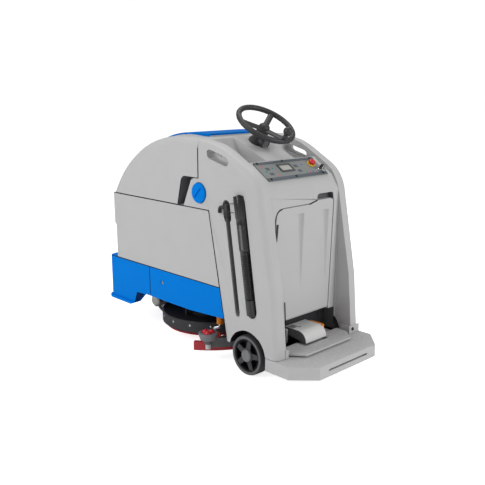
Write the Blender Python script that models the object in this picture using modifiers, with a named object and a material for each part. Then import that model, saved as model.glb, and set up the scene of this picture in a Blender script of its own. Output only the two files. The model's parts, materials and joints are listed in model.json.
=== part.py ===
"""Stand-on floor scrubber, built as an assembly of separate pieces.

Metres. +X is the operator's right, +Y is forward and +Z is up. Sizes along Y are counted from the
rear axle, and one empty at the end carries the whole machine to the middle of its own box.
"""
import math

import bmesh
import bpy
from mathutils import Matrix, Vector

# Overall sizes
BODY_WIDTH = 0.648           # over the grey mouldings
FRONT_REACH = 1.233          # rear axle to the tip of the bumper lip
REAR_REACH = 0.390           # rear axle to the back of the platform
CLEAR = 0.0003               # gap between pieces that touch
SEAM_GAP = 0.002             # gap along the seams between the mouldings
RUN = 0.0003                 # gap round a turning or sliding shaft
PAST = 0.020                 # how far a cutter runs past the piece it cuts
EDGE = 0.004                 # small chamfer on mouldings and turned pieces
WHEEL_SIDES = 32
ROUND_SIDES = 18

# Rear wheels
WHEEL_R = 0.104
WHEEL_WIDTH = 0.078
WHEEL_PROUD = 0.006          # tyre face outside the body side
WHEEL_RIM_R = 0.082
WHEEL_SPOKES = 5
HUB_TURN_DEG = 138.0         # where the first hub pocket is
AXLE_R = 0.0125
AXLE_CAP_R = 0.032
AXLE_CAP_LENGTH = 0.009
HUB_INSET = 0.006            # hub face inside the tyre face
HUB_BACK_INSET = 0.003
HUB_POCKET_DEPTH = 0.026
HUB_WALL = 0.007
SPOKE_SHARE = 0.36           # half of a pocket as a share of one spoke pitch
ARCH_GAP = 0.025             # air round the rear tyre in the wheel arch
ARCH_SIDE_GAP = 0.005        # air between the tyre and the wing wall inside it

# Platform and step plate
PLATFORM_TOP_Z = 0.127
PLATFORM_THICK = 0.066
PLATFORM_PROUD = 0.003       # platform outside the body side
PLATFORM_CHAMFER = 0.107
TONGUE_GAP = 0.030           # between the part inside the wheels and each wheel
STEP_SIDE_GAP = 0.020        # between the step plate and each wing
STEP_BACK_Y = -0.265
STEP_FRONT_Y = -0.125
STEP_CHAMFER_X = 0.060
STEP_CHAMFER_Y = 0.075
STEP_TOP_Z = 0.145
STEP_THICK = 0.0115
STEP_PEG_R = 0.006
EAR_HEIGHT = 0.043           # bolted plates on the inner faces of the wings
EAR_LENGTH = 0.065
EAR_THICK = 0.012
GROOVE_HALF = 0.150
GROOVE_R = 0.004
GROOVE_DEPTH = 0.012
PEG_LENGTH = 0.030
PEG_SPACING = 0.040
PEG_INSET_X = 0.030
PEG_INSET_Y = 0.015

# Foot pedal
PEDAL_WIDTH = 0.160
PEDAL_BACK_Y = -0.178
PEDAL_BOTTOM_Z = 0.150
PEDAL_TOP_Z = 0.207
PEDAL_NOSE_R = 0.052
PEDAL_WALL = 0.006
PEDAL_AXIS_Y = -0.045
PEDAL_AXIS_Z = 0.186
PEDAL_SHAFT_R = 0.006
PEDAL_BOSS = 0.014           # pedal and bracket round the shaft
PEDAL_SIDE_GAP = 0.004
PEDAL_NOTCH_GAP = 0.009
BRACKET_THICK = 0.012

# Steel frame
RAIL_INSET = 0.134           # middle of each side rail inside the body side
RAIL_WIDTH = 0.040
RAIL_HEIGHT = 0.069
FRAME_TOP_Z = 0.4137         # top of the rails, where the lower body rests
FRAME_BACK_Y = -0.030
FRAME_FRONT_Y = 1.120
CROSS_HEIGHT = 0.040
AXLE_PLATE_THICK = 0.025
AXLE_PLATE_REACH = 0.030     # frame below the axle line
KICK_GAP = 0.004             # air behind and beside the plate that closes the footwell
KICK_THICK = 0.004
KICK_TOP_Z = 0.300

# Lower body
SEAM_Z = 0.807               # between the lower body and the recovery tank
TUB_FRONT_Y = 1.152
TUB_SETBACK = 0.015          # lower front face behind the upper one
TUB_LEDGE_Z = 0.620
TUB_CORNER_R = 0.065
TUB_WALL = 0.050
TUB_FLOOR = 0.035

# Blue skirts and bumper
SKIRT_BOTTOM_Z = 0.255
SKIRT_BELLY_Y = 0.450          # where the skirts' lower edge levels out
SKIRT_BELLY_Z = 0.237
SKIRT_THICK = 0.010
BUMPER_BACK_Y = 0.800
BUMPER_THICK = 0.012
BUMPER_FLANGE = 0.055
BAY_BACK_GAP = 0.010         # battery bay in front of the console seam
NOTCH_BACK = 0.050           # shape of the cut-away in the bumper side
NOTCH_KNEE = 0.111
NOTCH_FOOT = 0.188
NOTCH_KNEE_RISE = 0.032
LIP_BACK = 0.100
BUMPER_CORNER_R = 0.045
LIP_BOTTOM_Z = 0.147
LIP_FLARE = 0.013
LIP_HEIGHT = 0.018
SKIRT_HOLE_R = 0.012
SKIRT_HOLE_Y = 0.687
SKIRT_HOLE_Z = 0.340

# Console with its two wings
WING_THICK = 0.069
WING_BACK_Y = -0.205
WING_BELLY_Y = -0.178        # where the back edge of the wings changes slope
WING_BELLY_Z = 0.450
WING_FOOT_Y = 0.145
WING_FOOT_Z = 0.139
WING_FOOT_R = 0.012
WING_SEAM_Y = 0.2785         # front edge of the wings at the seam
SHOULDER_Y = -0.078
SHOULDER_Z = 0.985
SHOULDER_R = 0.200
BROW_Y = 0.190
BROW_Z = 1.135
BROW_R = 0.400
CONSOLE_TOP_Z = 1.165
TANK_BACK_Y = 0.360          # upright seam between console and tank
WING_EDGE_R = 0.030
JAMB = 0.010                 # wing wall inside the footwell face
WALL_BACK_Y = -0.0905        # face of the rear wall between the wings
WALL_FRONT_Y = -0.030
DASH_LOW_Y = -0.047
DASH_LOW_Z = 0.972
DASH_HIGH_Y = 0.0715
DASH_HIGH_Z = 1.051
PEDESTAL_Y = 0.190
PEDESTAL_Z = 1.104
PEDESTAL_WIDTH = 0.210
PEDESTAL_RISE = 0.507        # slope of the pedestal above its back edge
TROUGH_FLOOR_Z = 1.040
TROUGH_TURN_Y = 0.252          # where the trough floor turns up
TROUGH_FRONT_Y = 0.345
FOREHEAD_Z = 0.900
ROOF_THICK = 0.065
CONSOLE_WALL = 0.025         # behind the upright seam
TROUGH_THICK = 0.020
TROUGH_BACK_GAP = 0.012

# Hand holds
GRIP_Y = 0.2125
GRIP_Z = 1.077
GRIP_LENGTH = 0.160
GRIP_HEIGHT = 0.042
GRIP_TILT = math.radians(14.6)

# Rear door
DOOR_BOTTOM_Z = 0.260
DOOR_FOOT_INSET = 0.060      # door edges inside the wings' inner faces
DOOR_TOP_INSET = 0.033
DOOR_LEFT_Z = 0.842
DOOR_RIGHT_Z = 0.857
DOOR_STEP_X = 0.030
DOOR_STEP_RUN = 0.060
DOOR_CORNER_R = 0.050
DOOR_STEP_R = 0.020
DOOR_FOOT_GAP = 0.006        # rear wall ends this far under the door
DOOR_PIN_REACH = 0.014       # hinge rod into each jamb
DOOR_THICK = 0.0315
DOOR_GAP = 0.003
DOOR_PIN_R = 0.004
DOOR_REST = 0.012            # width of the frame behind the door's edge
DOOR_OPENING_LOW_Z = 0.300
DOOR_OPENING_HIGH_Z = 0.800
SCOOP_LEFT_X = 0.090
SCOOP_INSET = 0.006
SCOOP_TOP_Z = 0.888
SCOOP_R = 0.015
FLUTE_TOP_R = 0.034
FLUTE_FOOT_R = 0.006
FLUTE_TOP_Z = 0.800
FLUTE_FOOT_Z = 0.400
FLUTE_LEFT_X = -0.036
FLUTE_RIGHT_X = 0.158
FLUTE_DEPTH = 0.014

# Recovery tank and lid
TANK_R = 0.700               # side profile
TANK_CREST_Y = 0.540
TANK_TOP_Z = 1.165
TANK_EDGE_R = 0.050
TANK_WALL = 0.024
TANK_FLOOR = 0.024
NOTCH_DEPTH = 0.066          # finger recess and filler tab, from the left face
LID_WIDTH = 0.400
LID_BACK_Y = 0.400
LID_FRONT_Y = 0.750
LID_THICK = 0.016
DIP_R = 0.040                # finger dip in the lid
DIP_LENGTH = 0.045
DIP_DEPTH = 0.011
MOUTH_WIDTH = 0.320
MOUTH_BACK_Y = 0.450
MOUTH_FRONT_Y = 0.690
HINGE_LUG_R = 0.010
HINGE_ROD_R = 0.005
HINGE_OFFSET = 0.0115        # hinge line outside the right face
HINGE_BACK_Y = 0.515
HINGE_FRONT_Y = 0.885
HINGE_LUG_LENGTH = 0.030
LID_LUG_R = 0.007
LID_ROD_R = 0.003
LID_LUG_Y = 0.455
LID_LUG_LENGTH = 0.030

# Filler tab and cap
TAB_FOOT_Y = 0.482
TAB_TOP_Y = 0.412
TAB_TOP_Z = 0.962
TAB_CORNER_R = 0.035
RECESS_GAP = 0.052           # finger room in front of the tab's foot
RECESS_TOP_GAP = 0.080       # and in front of its top
CAP_Y = 0.351
CAP_Z = 0.889
CAP_R = 0.053
CAP_THICK = 0.010
CAP_SLOT_R = 0.007
CAP_SLOT_DEPTH = 0.006
CAP_SLOT_SHARE = 0.37        # half length of the grip slot as a share of the cap
NECK_R = 0.0545
NECK_WALL = 0.0105
NECK_DEPTH = 0.035

# Steering
COLUMN_TILT = math.radians(32.6)
STEER_Y = 0.193
STEER_Z = 1.231
STEER_R = 0.151
STEER_RIM_R = 0.0145
STEER_HUB_R = 0.033
STEER_HUB_TOP_R = 0.025
STEER_HUB_DEPTH = 0.026      # half of the hub's height
STEER_DISH = 0.030           # hub's middle below the rim plane
SOCKET_WALL = 0.012          # hub above the shaft's end
STEER_SPOKES_DEG = (36.0, 166.0, 280.0)
SPOKE_WIDTH = 0.024
SPOKE_THICK = 0.011
KNOB_DEG = -92.0
KNOB_R = 0.024
KNOB_HEIGHT = 0.069
KNOB_POST_R = 0.006
KNOB_POST_LENGTH = 0.045
KNOB_NECK_R = 0.013
SHAFT_R = 0.012
SHAFT_END = 0.210            # below the hub, along the column
BOOT_SEAT = 0.118
BOOT_TOP = 0.062
BOOT_BASE_R = 0.050
BOOT_NECK_R = 0.027
BOOT_RIM = 0.010

# Control panel
PANEL_INSET = 0.035          # panel edge inside the wing's inner face
PANEL_DEPTH = 0.140
PANEL_THICK = 0.004
DISPLAY_X = -0.035
DISPLAY_V = 0.012
DISPLAY_WIDTH = 0.075
DISPLAY_DEPTH = 0.040
DISPLAY_THICK = 0.0015
ESTOP_INSET = 0.055          # from the panel's right edge
ESTOP_V = 0.018
ESTOP_R = 0.019
ESTOP_STEM_R = 0.012
ESTOP_TRAVEL = 0.005
ESTOP_HEAD = 0.012
COLLAR_R = 0.023
COLLAR_HEIGHT = 0.006
KEY_INSET = 0.032            # from the panel's right edge
KEY_V = -0.030
KEY_SWITCH_R = 0.013
KEY_SWITCH_HEIGHT = 0.008
KEY_STEM_R = 0.0035
KEY_HEAD_WIDTH = 0.022
KEY_HEAD_HEIGHT = 0.024
KEY_HEAD_THICK = 0.005

# Hoses in the left wing
DRAIN_TOP_Y = 0.0535
DRAIN_TOP_Z = 0.895
DRAIN_FOOT_Y = -0.0345
DRAIN_FOOT_Z = 0.324
DRAIN_CHANNEL_R = 0.036
DRAIN_CHANNEL_DEPTH = 0.034
DRAIN_INSET = 0.018          # hose ends past the centres of the channel's round ends
DRAIN_HOSE_R = 0.0235
DRAIN_BORE_R = 0.0155
DRAIN_RIB = 0.003
DRAIN_RIBS = 24
DRAIN_PLUG_R = 0.0315
DRAIN_PLUG_LENGTH = 0.276
PLUG_GRIP = 0.34             # shares of the plug length where its steps are
PLUG_NECK_TOP = 0.94
DRAIN_CUFF_LENGTH = 0.079
LEVEL_TOP_Y = 0.1487
LEVEL_TOP_Z = 0.8594
LEVEL_FOOT_Y = 0.0666
LEVEL_FOOT_Z = 0.3110
LEVEL_CHANNEL_R = 0.0265
LEVEL_CHANNEL_DEPTH = 0.030
LEVEL_GROOVE_R = 0.0155         # groove of the hose under the fitting
LEVEL_GROOVE_DEPTH = 0.0195
LEVEL_INSET = 0.010          # fitting past the centre of the channel's upper end
LEVEL_TAIL = 0.003           # channel's lower end past the hose
LEVEL_HOSE_R = 0.0125
LEVEL_FITTING_R = 0.0235
LEVEL_FITTING_LENGTH = 0.073

# Drive unit
DRIVE_Y = 1.050
DRIVE_WIDTH = 0.070
DRIVE_RIM_R = 0.074
DRIVE_AXLE_R = 0.012
CHEEK_GAP = 0.005
CHEEK_THICK = 0.015
FORK_LENGTH = 0.060
CROWN_GAP = 0.015
CROWN_THICK = 0.020
KINGPIN_R = 0.020
KINGPIN_TOP_Z = 0.400
BEARING_R = 0.036
BEARING_FLANGE_R = 0.052
BEARING_FLANGE = 0.018
DRIVE_MOTOR_R = 0.040
DRIVE_MOTOR_LENGTH = 0.055
FRONT_PLATE_DEPTH = 0.130
FRONT_PLATE_THICK = 0.020

# Brush deck
DECK_Y = 0.635
DECK_R = 0.290
DECK_SIDES = 40
DECK_SKIRT_THICK = 0.012
DECK_SKIRT_LOW_Z = 0.066
DECK_SKIRT_TOP_Z = 0.135
DECK_PLATE = 0.017
DECK_HAT_R = 0.160
DECK_HAT_TOP_R = 0.090
DECK_HAT_TOP_Z = 0.180
GUIDE_ROD_R = 0.010
GUIDE_ROD_TOP_Z = 0.340
GUIDE_SLEEVE_R = 0.019
GUIDE_SLEEVE_LOW_Z = 0.265
BRUSH_R = 0.255
BRUSH_TOP_Z = 0.112
BRUSH_BACK = 0.010           # thickness of the bristle backing
BRISTLE_LOW_Z = 0.053
BRISTLE_R = 0.0045
BRISTLE_RINGS = 8
BRISTLE_FIRST_R = 0.075
BRISTLE_PITCH = 0.0265
BRUSH_SHAFT_R = 0.018
BRUSH_MOTOR_R = 0.070
BRUSH_MOTOR_TOP_Z = 0.322
ACTUATOR_X = 0.090
ACTUATOR_Y = 0.440
ACTUATOR_R = 0.022
ACTUATOR_LOW_Z = 0.240
ACTUATOR_ROD_R = 0.012

# Squeegee
SQUEEGEE_R = 0.473           # middle line of the arc
SQUEEGEE_MID_Y = 0.140
SQUEEGEE_LOW_Z = 0.057
BEAM_LOW_Z = 0.106
BEAM_HEIGHT = 0.024
BEAM_WIDTH = 0.032
BEAM_HALF_DEG = 46.0
RIB_HALF_DEG = 45.0
BLADE_HALF_DEG = 54.5
BLADE_THICK = 0.004
RIB_THICK = 0.0112
RIB_LOW_Z = 0.085
CLAMP_LOW_Z = 0.077          # clamp bands that hold the blades against the rib
GUARD_DEG = 45.0
GUARD_OUT = 0.037            # roller centre outside the middle line
GUARD_R = 0.050
GUARD_HEIGHT = 0.040
GUARD_PIN_R = 0.008
GUARD_PIN_LENGTH = 0.025
GUARD_ARM_R = 0.021
GUARD_FOOT_R = 0.015
GUARD_FOOT_Z = 0.078
POST_WIDTH = 0.040
POST_DEPTH = 0.024
POST_TOP_Z = 0.450
SPIGOT_X = 0.070
SPIGOT_R = 0.022
SPIGOT_HEIGHT = 0.042

# Inner units
BATTERY_LENGTH = 0.330
BATTERY_SIDE_GAP = 0.018
BATTERY_HEIGHT = 0.275
BATTERY_GAP = 0.012
BATTERY_Y = 0.600
VACUUM_X = 0.120
VACUUM_Y = 0.950
VACUUM_R = 0.072
VACUUM_HEIGHT = 0.170
VACUUM_CAP_R = 0.050
VACUUM_FAN_HEIGHT = 0.094
CONTROLLER_X = -0.120
CONTROLLER_WIDTH = 0.180
CONTROLLER_LENGTH = 0.120
CONTROLLER_HEIGHT = 0.075
VALVE_Y = 0.312
VALVE_OUT = 0.030            # valve outside the rail's middle
VALVE_R = 0.020
VALVE_LOW_Z = 0.168
VALVE_HEIGHT = 0.055
VALVE_STEM = 0.020

# Values worked out from the sizes above
HALF = BODY_WIDTH / 2
WHEEL_FACE = HALF + WHEEL_PROUD
WHEEL_BACK = WHEEL_FACE - WHEEL_WIDTH
PLATFORM_HALF = HALF + PLATFORM_PROUD
WING_INNER = HALF - WING_THICK
STEP_HALF = WING_INNER - STEP_SIDE_GAP
RAIL_X = HALF - RAIL_INSET
CAVITY_HALF = WING_INNER - JAMB
FRAME_LOW_Z = FRAME_TOP_Z - RAIL_HEIGHT
TUB_BOTTOM_Z = FRAME_TOP_Z + CLEAR
BUMPER_FRONT_Y = FRONT_REACH - LIP_FLARE
TANK_CENTRE_Z = TANK_TOP_Z - TANK_R
DASH_TILT = math.atan2(DASH_HIGH_Z - DASH_LOW_Z, DASH_HIGH_Y - DASH_LOW_Y)
PANEL_HALF = WING_INNER - PANEL_INSET
ESTOP_X = PANEL_HALF - ESTOP_INSET
KEY_X = PANEL_HALF - KEY_INSET
DOOR_BOTTOM_HALF = WING_INNER - DOOR_FOOT_INSET
DOOR_TOP_HALF = WING_INNER - DOOR_TOP_INSET
DOOR_OPENING_HALF = DOOR_BOTTOM_HALF - DOOR_REST
DOOR_BACK_Y = WALL_BACK_Y + DOOR_THICK
DOOR_AXIS_Y = WALL_BACK_Y + DOOR_THICK / 2
DOOR_AXIS_Z = DOOR_BOTTOM_Z + DOOR_THICK / 2
HINGE_X = HALF + HINGE_OFFSET
HINGES = ((HINGE_BACK_Y, 1), (HINGE_FRONT_Y, -1))
LID_HINGE_X = LID_WIDTH / 2 + LID_LUG_R + EDGE / 2
LID_HINGE_Z = TANK_TOP_Z + LID_LUG_R + 4 * CLEAR
SQUEEGEE_CENTRE_Y = SQUEEGEE_MID_Y + SQUEEGEE_R
BEAM_TOP_Z = BEAM_LOW_Z + BEAM_HEIGHT
DECK_PLATE_LOW_Z = DECK_SKIRT_TOP_Z - DECK_PLATE
BATTERY_WIDTH = HALF - TUB_WALL - BATTERY_GAP / 2 - BATTERY_SIDE_GAP
BAY_FLOOR_Z = TUB_BOTTOM_Z + TUB_FLOOR
FRAME_SHIFT_Y = -(FRONT_REACH - REAR_REACH) / 2

X_AXIS = Vector((1, 0, 0))
Z_AXIS = Vector((0, 0, 1))
SIDES = (("left", -1), ("right", 1))


def start_scene():
    """Empty the scene and make one collection for the pieces and one for the cutters."""
    for obj in list(bpy.data.objects):
        bpy.data.objects.remove(obj, do_unlink=True)
    made = []
    for name in ("floor_scrubber", "cutters"):
        collection = bpy.data.collections.new(name)
        bpy.context.scene.collection.children.link(collection)
        made.append(collection)
    return made


PARTS, CUTTERS = start_scene()


def material(name, colour, roughness, metallic=0.0):
    """One Principled material, its colour given as sRGB hex."""
    made = bpy.data.materials.new(name)
    made.use_nodes = True
    shader = made.node_tree.nodes["Principled BSDF"]
    linear = []
    for start in (0, 2, 4):
        share = int(colour[start:start + 2], 16) / 255
        linear.append(share / 12.92 if share <= 0.04045 else ((share + 0.055) / 1.055) ** 2.4)
    shader.inputs["Base Color"].default_value = (*linear, 1.0)
    shader.inputs["Roughness"].default_value = roughness
    shader.inputs["Metallic"].default_value = metallic
    return made


GREY_MOULDING = material("grey_moulding", "BDBBB9", 0.55)
BLUE_MOULDING = material("blue_moulding", "0079D8", 0.45)
BLACK_PLASTIC = material("black_plastic", "2B2B2D", 0.55)
BLACK_RUBBER = material("black_rubber", "2E2E30", 0.80)
DARK_GREY = material("dark_grey_plastic", "4A4B4D", 0.60)
FRAME_STEEL = material("black_painted_steel", "222325", 0.50, 0.3)
BARE_STEEL = material("bare_steel", "B4B6B8", 0.35, 1.0)
CAST_METAL = material("cast_aluminium", "C8C4B8", 0.45, 1.0)
RED_RUBBER = material("red_rubber", "B32A33", 0.65)
RED_PLASTIC = material("red_plastic", "D3262B", 0.40)
YELLOW_PLASTIC = material("yellow_plastic", "E8C21E", 0.45)
ORANGE_PLASTIC = material("orange_plastic", "E08A20", 0.45)
PANEL_FILM = material("panel_film", "8C959B", 0.45)
DISPLAY_GLASS = material("display_glass", "C9CDC8", 0.20)


def link(obj, collection):
    """Put an object in one collection only."""
    for other in list(obj.users_collection):
        other.objects.unlink(obj)
    collection.objects.link(obj)
    return obj


def mesh_object(name, bm):
    """A new object from a bmesh."""
    mesh = bpy.data.meshes.new(name)
    bm.to_mesh(mesh)
    bm.free()
    return link(bpy.data.objects.new(name, mesh), PARTS)


def box(name, low, high):
    """A box between two corners."""
    bm = bmesh.new()
    bmesh.ops.create_cube(bm, size=1.0)
    size = Vector(high) - Vector(low)
    middle = (Vector(high) + Vector(low)) / 2
    bmesh.ops.scale(bm, vec=size, verts=bm.verts)
    bmesh.ops.translate(bm, vec=middle, verts=bm.verts)
    return mesh_object(name, bm)


def rod(name, start, end, radius, end_radius=None, sides=24):
    """A round bar, or a cone, from one point to another."""
    run = Vector(end) - Vector(start)
    bm = bmesh.new()
    turn = Z_AXIS.rotation_difference(run).to_matrix().to_4x4()
    bmesh.ops.create_cone(
        bm, cap_ends=True, segments=sides, radius1=radius,
        radius2=radius if end_radius is None else end_radius, depth=run.length,
        matrix=Matrix.Translation((Vector(start) + Vector(end)) / 2) @ turn)
    return mesh_object(name, bm)


def rod_x(name, low, high, y, z, radius, sides=24):
    """A round bar along X."""
    return rod(name, (low, y, z), (high, y, z), radius, sides=sides)


def rod_y(name, low, high, x, z, radius, sides=24):
    """A round bar along Y."""
    return rod(name, (x, low, z), (x, high, z), radius, sides=sides)


def rod_z(name, low, high, x, y, radius, sides=24):
    """A round bar along Z."""
    return rod(name, (x, y, low), (x, y, high), radius, sides=sides)


def rounded(corners, steps=5):
    """An outline from (u, v, radius) corners, with an arc at each corner that has a radius."""
    outline = []
    count = len(corners)
    for index, (u, v, radius) in enumerate(corners):
        here = Vector((u, v))
        if radius <= 0:
            outline.append(here)
            continue
        before = (Vector(corners[index - 1][:2]) - here).normalized()
        after = (Vector(corners[(index + 1) % count][:2]) - here).normalized()
        half = before.angle(after) / 2
        centre = here + (before + after).normalized() * (radius / math.sin(half))
        first = here + before * (radius / math.tan(half)) - centre
        last = here + after * (radius / math.tan(half)) - centre
        sweep = first.angle_signed(last)
        for step in range(steps + 1):
            turn = Matrix.Rotation(-sweep * step / steps, 2)
            outline.append(centre + turn @ first)
    return [(point.x, point.y) for point in outline]


def grown(outline, distance):
    """The same outline, moved outwards by a distance (the outline runs anticlockwise)."""
    moved = []
    count = len(outline)
    for index, point in enumerate(outline):
        here = Vector(point)
        before = (here - Vector(outline[index - 1])).normalized()
        after = (Vector(outline[(index + 1) % count]) - here).normalized()
        normal = Vector((before.y + after.y, -before.x - after.x)).normalized()
        reach = distance / max(0.5, normal.dot(Vector((before.y, -before.x))))
        moved.append(tuple(here + normal * reach))
    return moved


def stadium(start, end, radius, steps=6):
    """An outline with two round ends round the line from one point to another."""
    a = Vector(start)
    b = Vector(end)
    along = (b - a).normalized()
    base = math.atan2(along.y, along.x)
    outline = []
    for centre, first in ((b, base - math.pi / 2), (a, base + math.pi / 2)):
        for step in range(steps + 1):
            angle = first + math.pi * step / steps
            outline.append((centre.x + radius * math.cos(angle), centre.y + radius * math.sin(angle)))
    return outline


def arc(centre, radius, start_deg, end_deg, steps):
    """Points along an arc, in the outline's own plane."""
    points = []
    for step in range(steps + 1):
        angle = math.radians(start_deg + (end_deg - start_deg) * step / steps)
        points.append((centre[0] + radius * math.cos(angle), centre[1] + radius * math.sin(angle)))
    return points


def as_mesh(shape):
    """Turn a curve, or a piece with modifiers, into a closed mesh object in the same place."""
    link(shape, PARTS)
    evaluated = shape.evaluated_get(bpy.context.evaluated_depsgraph_get())
    mesh = bpy.data.meshes.new_from_object(evaluated)
    bm = bmesh.new()
    bm.from_mesh(mesh)
    bmesh.ops.remove_doubles(bm, verts=bm.verts, dist=1e-6)
    bmesh.ops.dissolve_limit(bm, angle_limit=0.001, verts=bm.verts, edges=bm.edges)
    bm.to_mesh(mesh)
    bm.free()
    made = link(bpy.data.objects.new(shape.name, mesh), PARTS)
    made.matrix_world = shape.matrix_world.copy()
    bpy.data.objects.remove(shape, do_unlink=True)
    return made


PLANES = {
    "X": Matrix(((0, 0, 1), (1, 0, 0), (0, 1, 0))).to_4x4(),
    "Y": Matrix(((1, 0, 0), (0, 0, -1), (0, 1, 0))).to_4x4(),
    "Z": Matrix.Identity(4),
}


def prism(name, outline, axis, low, high):
    """A flat outline drawn across an axis, given thickness between two places along it."""
    curve = bpy.data.curves.new(name, "CURVE")
    curve.dimensions = "2D"
    curve.fill_mode = "BOTH"
    curve.extrude = (high - low) / 2
    spline = curve.splines.new("POLY")
    spline.points.add(len(outline) - 1)
    for point, (u, v) in zip(spline.points, outline):
        point.co = (u, v, 0, 1)
    spline.use_cyclic_u = True
    middle = Vector((0, 0, 0))
    middle["XYZ".index(axis)] = (low + high) / 2
    shape = bpy.data.objects.new(name, curve)
    shape.matrix_world = Matrix.Translation(middle) @ PLANES[axis]
    return as_mesh(shape)


def turned(name, profile, start, direction, steps=32):
    """A turned solid: (radius, height) points, outer side top to bottom, on an axis."""
    closed = all(radius > 0 for radius, height in profile)
    verts = [(radius, 0, height) for radius, height in profile]
    edges = [(index, index + 1) for index in range(len(verts) - 1)]
    if closed:
        edges.append((len(verts) - 1, 0))
    mesh = bpy.data.meshes.new(name)
    mesh.from_pydata(verts, edges, [])
    shape = link(bpy.data.objects.new(name, mesh), PARTS)
    screw = shape.modifiers.new("turn", "SCREW")
    screw.steps = steps
    screw.render_steps = steps
    screw.use_merge_vertices = True
    screw.merge_threshold = 0.00001
    turn = Z_AXIS.rotation_difference(Vector(direction)).to_matrix().to_4x4()
    shape.matrix_world = Matrix.Translation(Vector(start)) @ turn
    return as_mesh(shape)


def tube(name, points, radii, resolution=2):
    """A round tube through points, with its own radius at each point."""
    curve = bpy.data.curves.new(name, "CURVE")
    curve.dimensions = "3D"
    curve.bevel_depth = 1.0
    curve.bevel_resolution = resolution
    curve.use_fill_caps = True
    spline = curve.splines.new("POLY")
    spline.points.add(len(points) - 1)
    for point, place, radius in zip(spline.points, points, radii):
        point.co = (*place, 1)
        point.radius = radius
    return as_mesh(bpy.data.objects.new(name, curve))


def boolean(target, tool, operation):
    """Cut, join or trim a piece with another object, which then only serves as a cutter."""
    modifier = target.modifiers.new(tool.name, "BOOLEAN")
    modifier.operation = operation
    modifier.solver = "EXACT"
    modifier.object = tool
    link(tool, CUTTERS)
    tool.hide_render = True
    tool.display_type = "WIRE"
    return target


def cut(target, *tools):
    """Take each tool's shape out of a piece."""
    for tool in tools:
        boolean(target, tool, "DIFFERENCE")
    return target


def fuse(target, *tools):
    """Weld each tool's shape to a piece."""
    for tool in tools:
        boolean(target, tool, "UNION")
    return target


def round_edges(obj, radius, segments, pick):
    """Round the edges that a test on their two world points picks."""
    bm = bmesh.new()
    bm.from_mesh(obj.data)
    place = obj.matrix_world
    chosen = []
    for edge in bm.edges:
        ends = [place @ vert.co for vert in edge.verts]
        if pick(*ends):
            chosen.append(edge)
    bmesh.ops.bevel(
        bm, geom=chosen, offset=radius, offset_type="OFFSET", segments=segments, profile=0.5,
        affect="EDGES", clamp_overlap=True)
    bm.to_mesh(obj.data)
    bm.free()
    return obj


def finish(obj, name, look, origin=None):
    """Name a piece, give it its material and put its origin on its joint's axis."""
    obj.name = name
    obj.data.name = name
    obj.data.materials.clear()
    obj.data.materials.append(look)
    if origin is not None:
        place = Matrix.Translation(Vector(origin))
        obj.data.transform(place.inverted() @ obj.matrix_world)
        obj.matrix_world = place
    obj.data.shade_smooth()
    obj.data.set_sharp_from_angle(angle=math.radians(35))
    return obj


def wing_front_y(z):
    """The slanting front edge of the wings at a height."""
    share = (z - WING_FOOT_Z) / (SEAM_Z - WING_FOOT_Z)
    return WING_FOOT_Y + share * (WING_SEAM_Y - WING_FOOT_Y)


def column_point(distance):
    """A point on the steering column, that far below the middle of the steering wheel."""
    y = STEER_Y + math.sin(COLUMN_TILT) * distance
    return Vector((0, y, STEER_Z - math.cos(COLUMN_TILT) * distance))


def column_place():
    """The steering wheel's own frame: its face is the XY plane."""
    return Matrix.Translation(column_point(0)) @ Matrix.Rotation(COLUMN_TILT, 4, "X")


def panel_place():
    """The control panel's own frame: X across, Y up the slope, Z out of the dash."""
    middle = Vector((0, (DASH_LOW_Y + DASH_HIGH_Y) / 2, (DASH_LOW_Z + DASH_HIGH_Z) / 2))
    return Matrix.Translation(middle) @ Matrix.Rotation(DASH_TILT, 4, "X")


def squeegee_point(degrees, radius):
    """A point of the squeegee arc, counted from straight back towards +X."""
    angle = math.radians(degrees)
    return (radius * math.sin(angle), SQUEEGEE_CENTRE_Y - radius * math.cos(angle))


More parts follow.
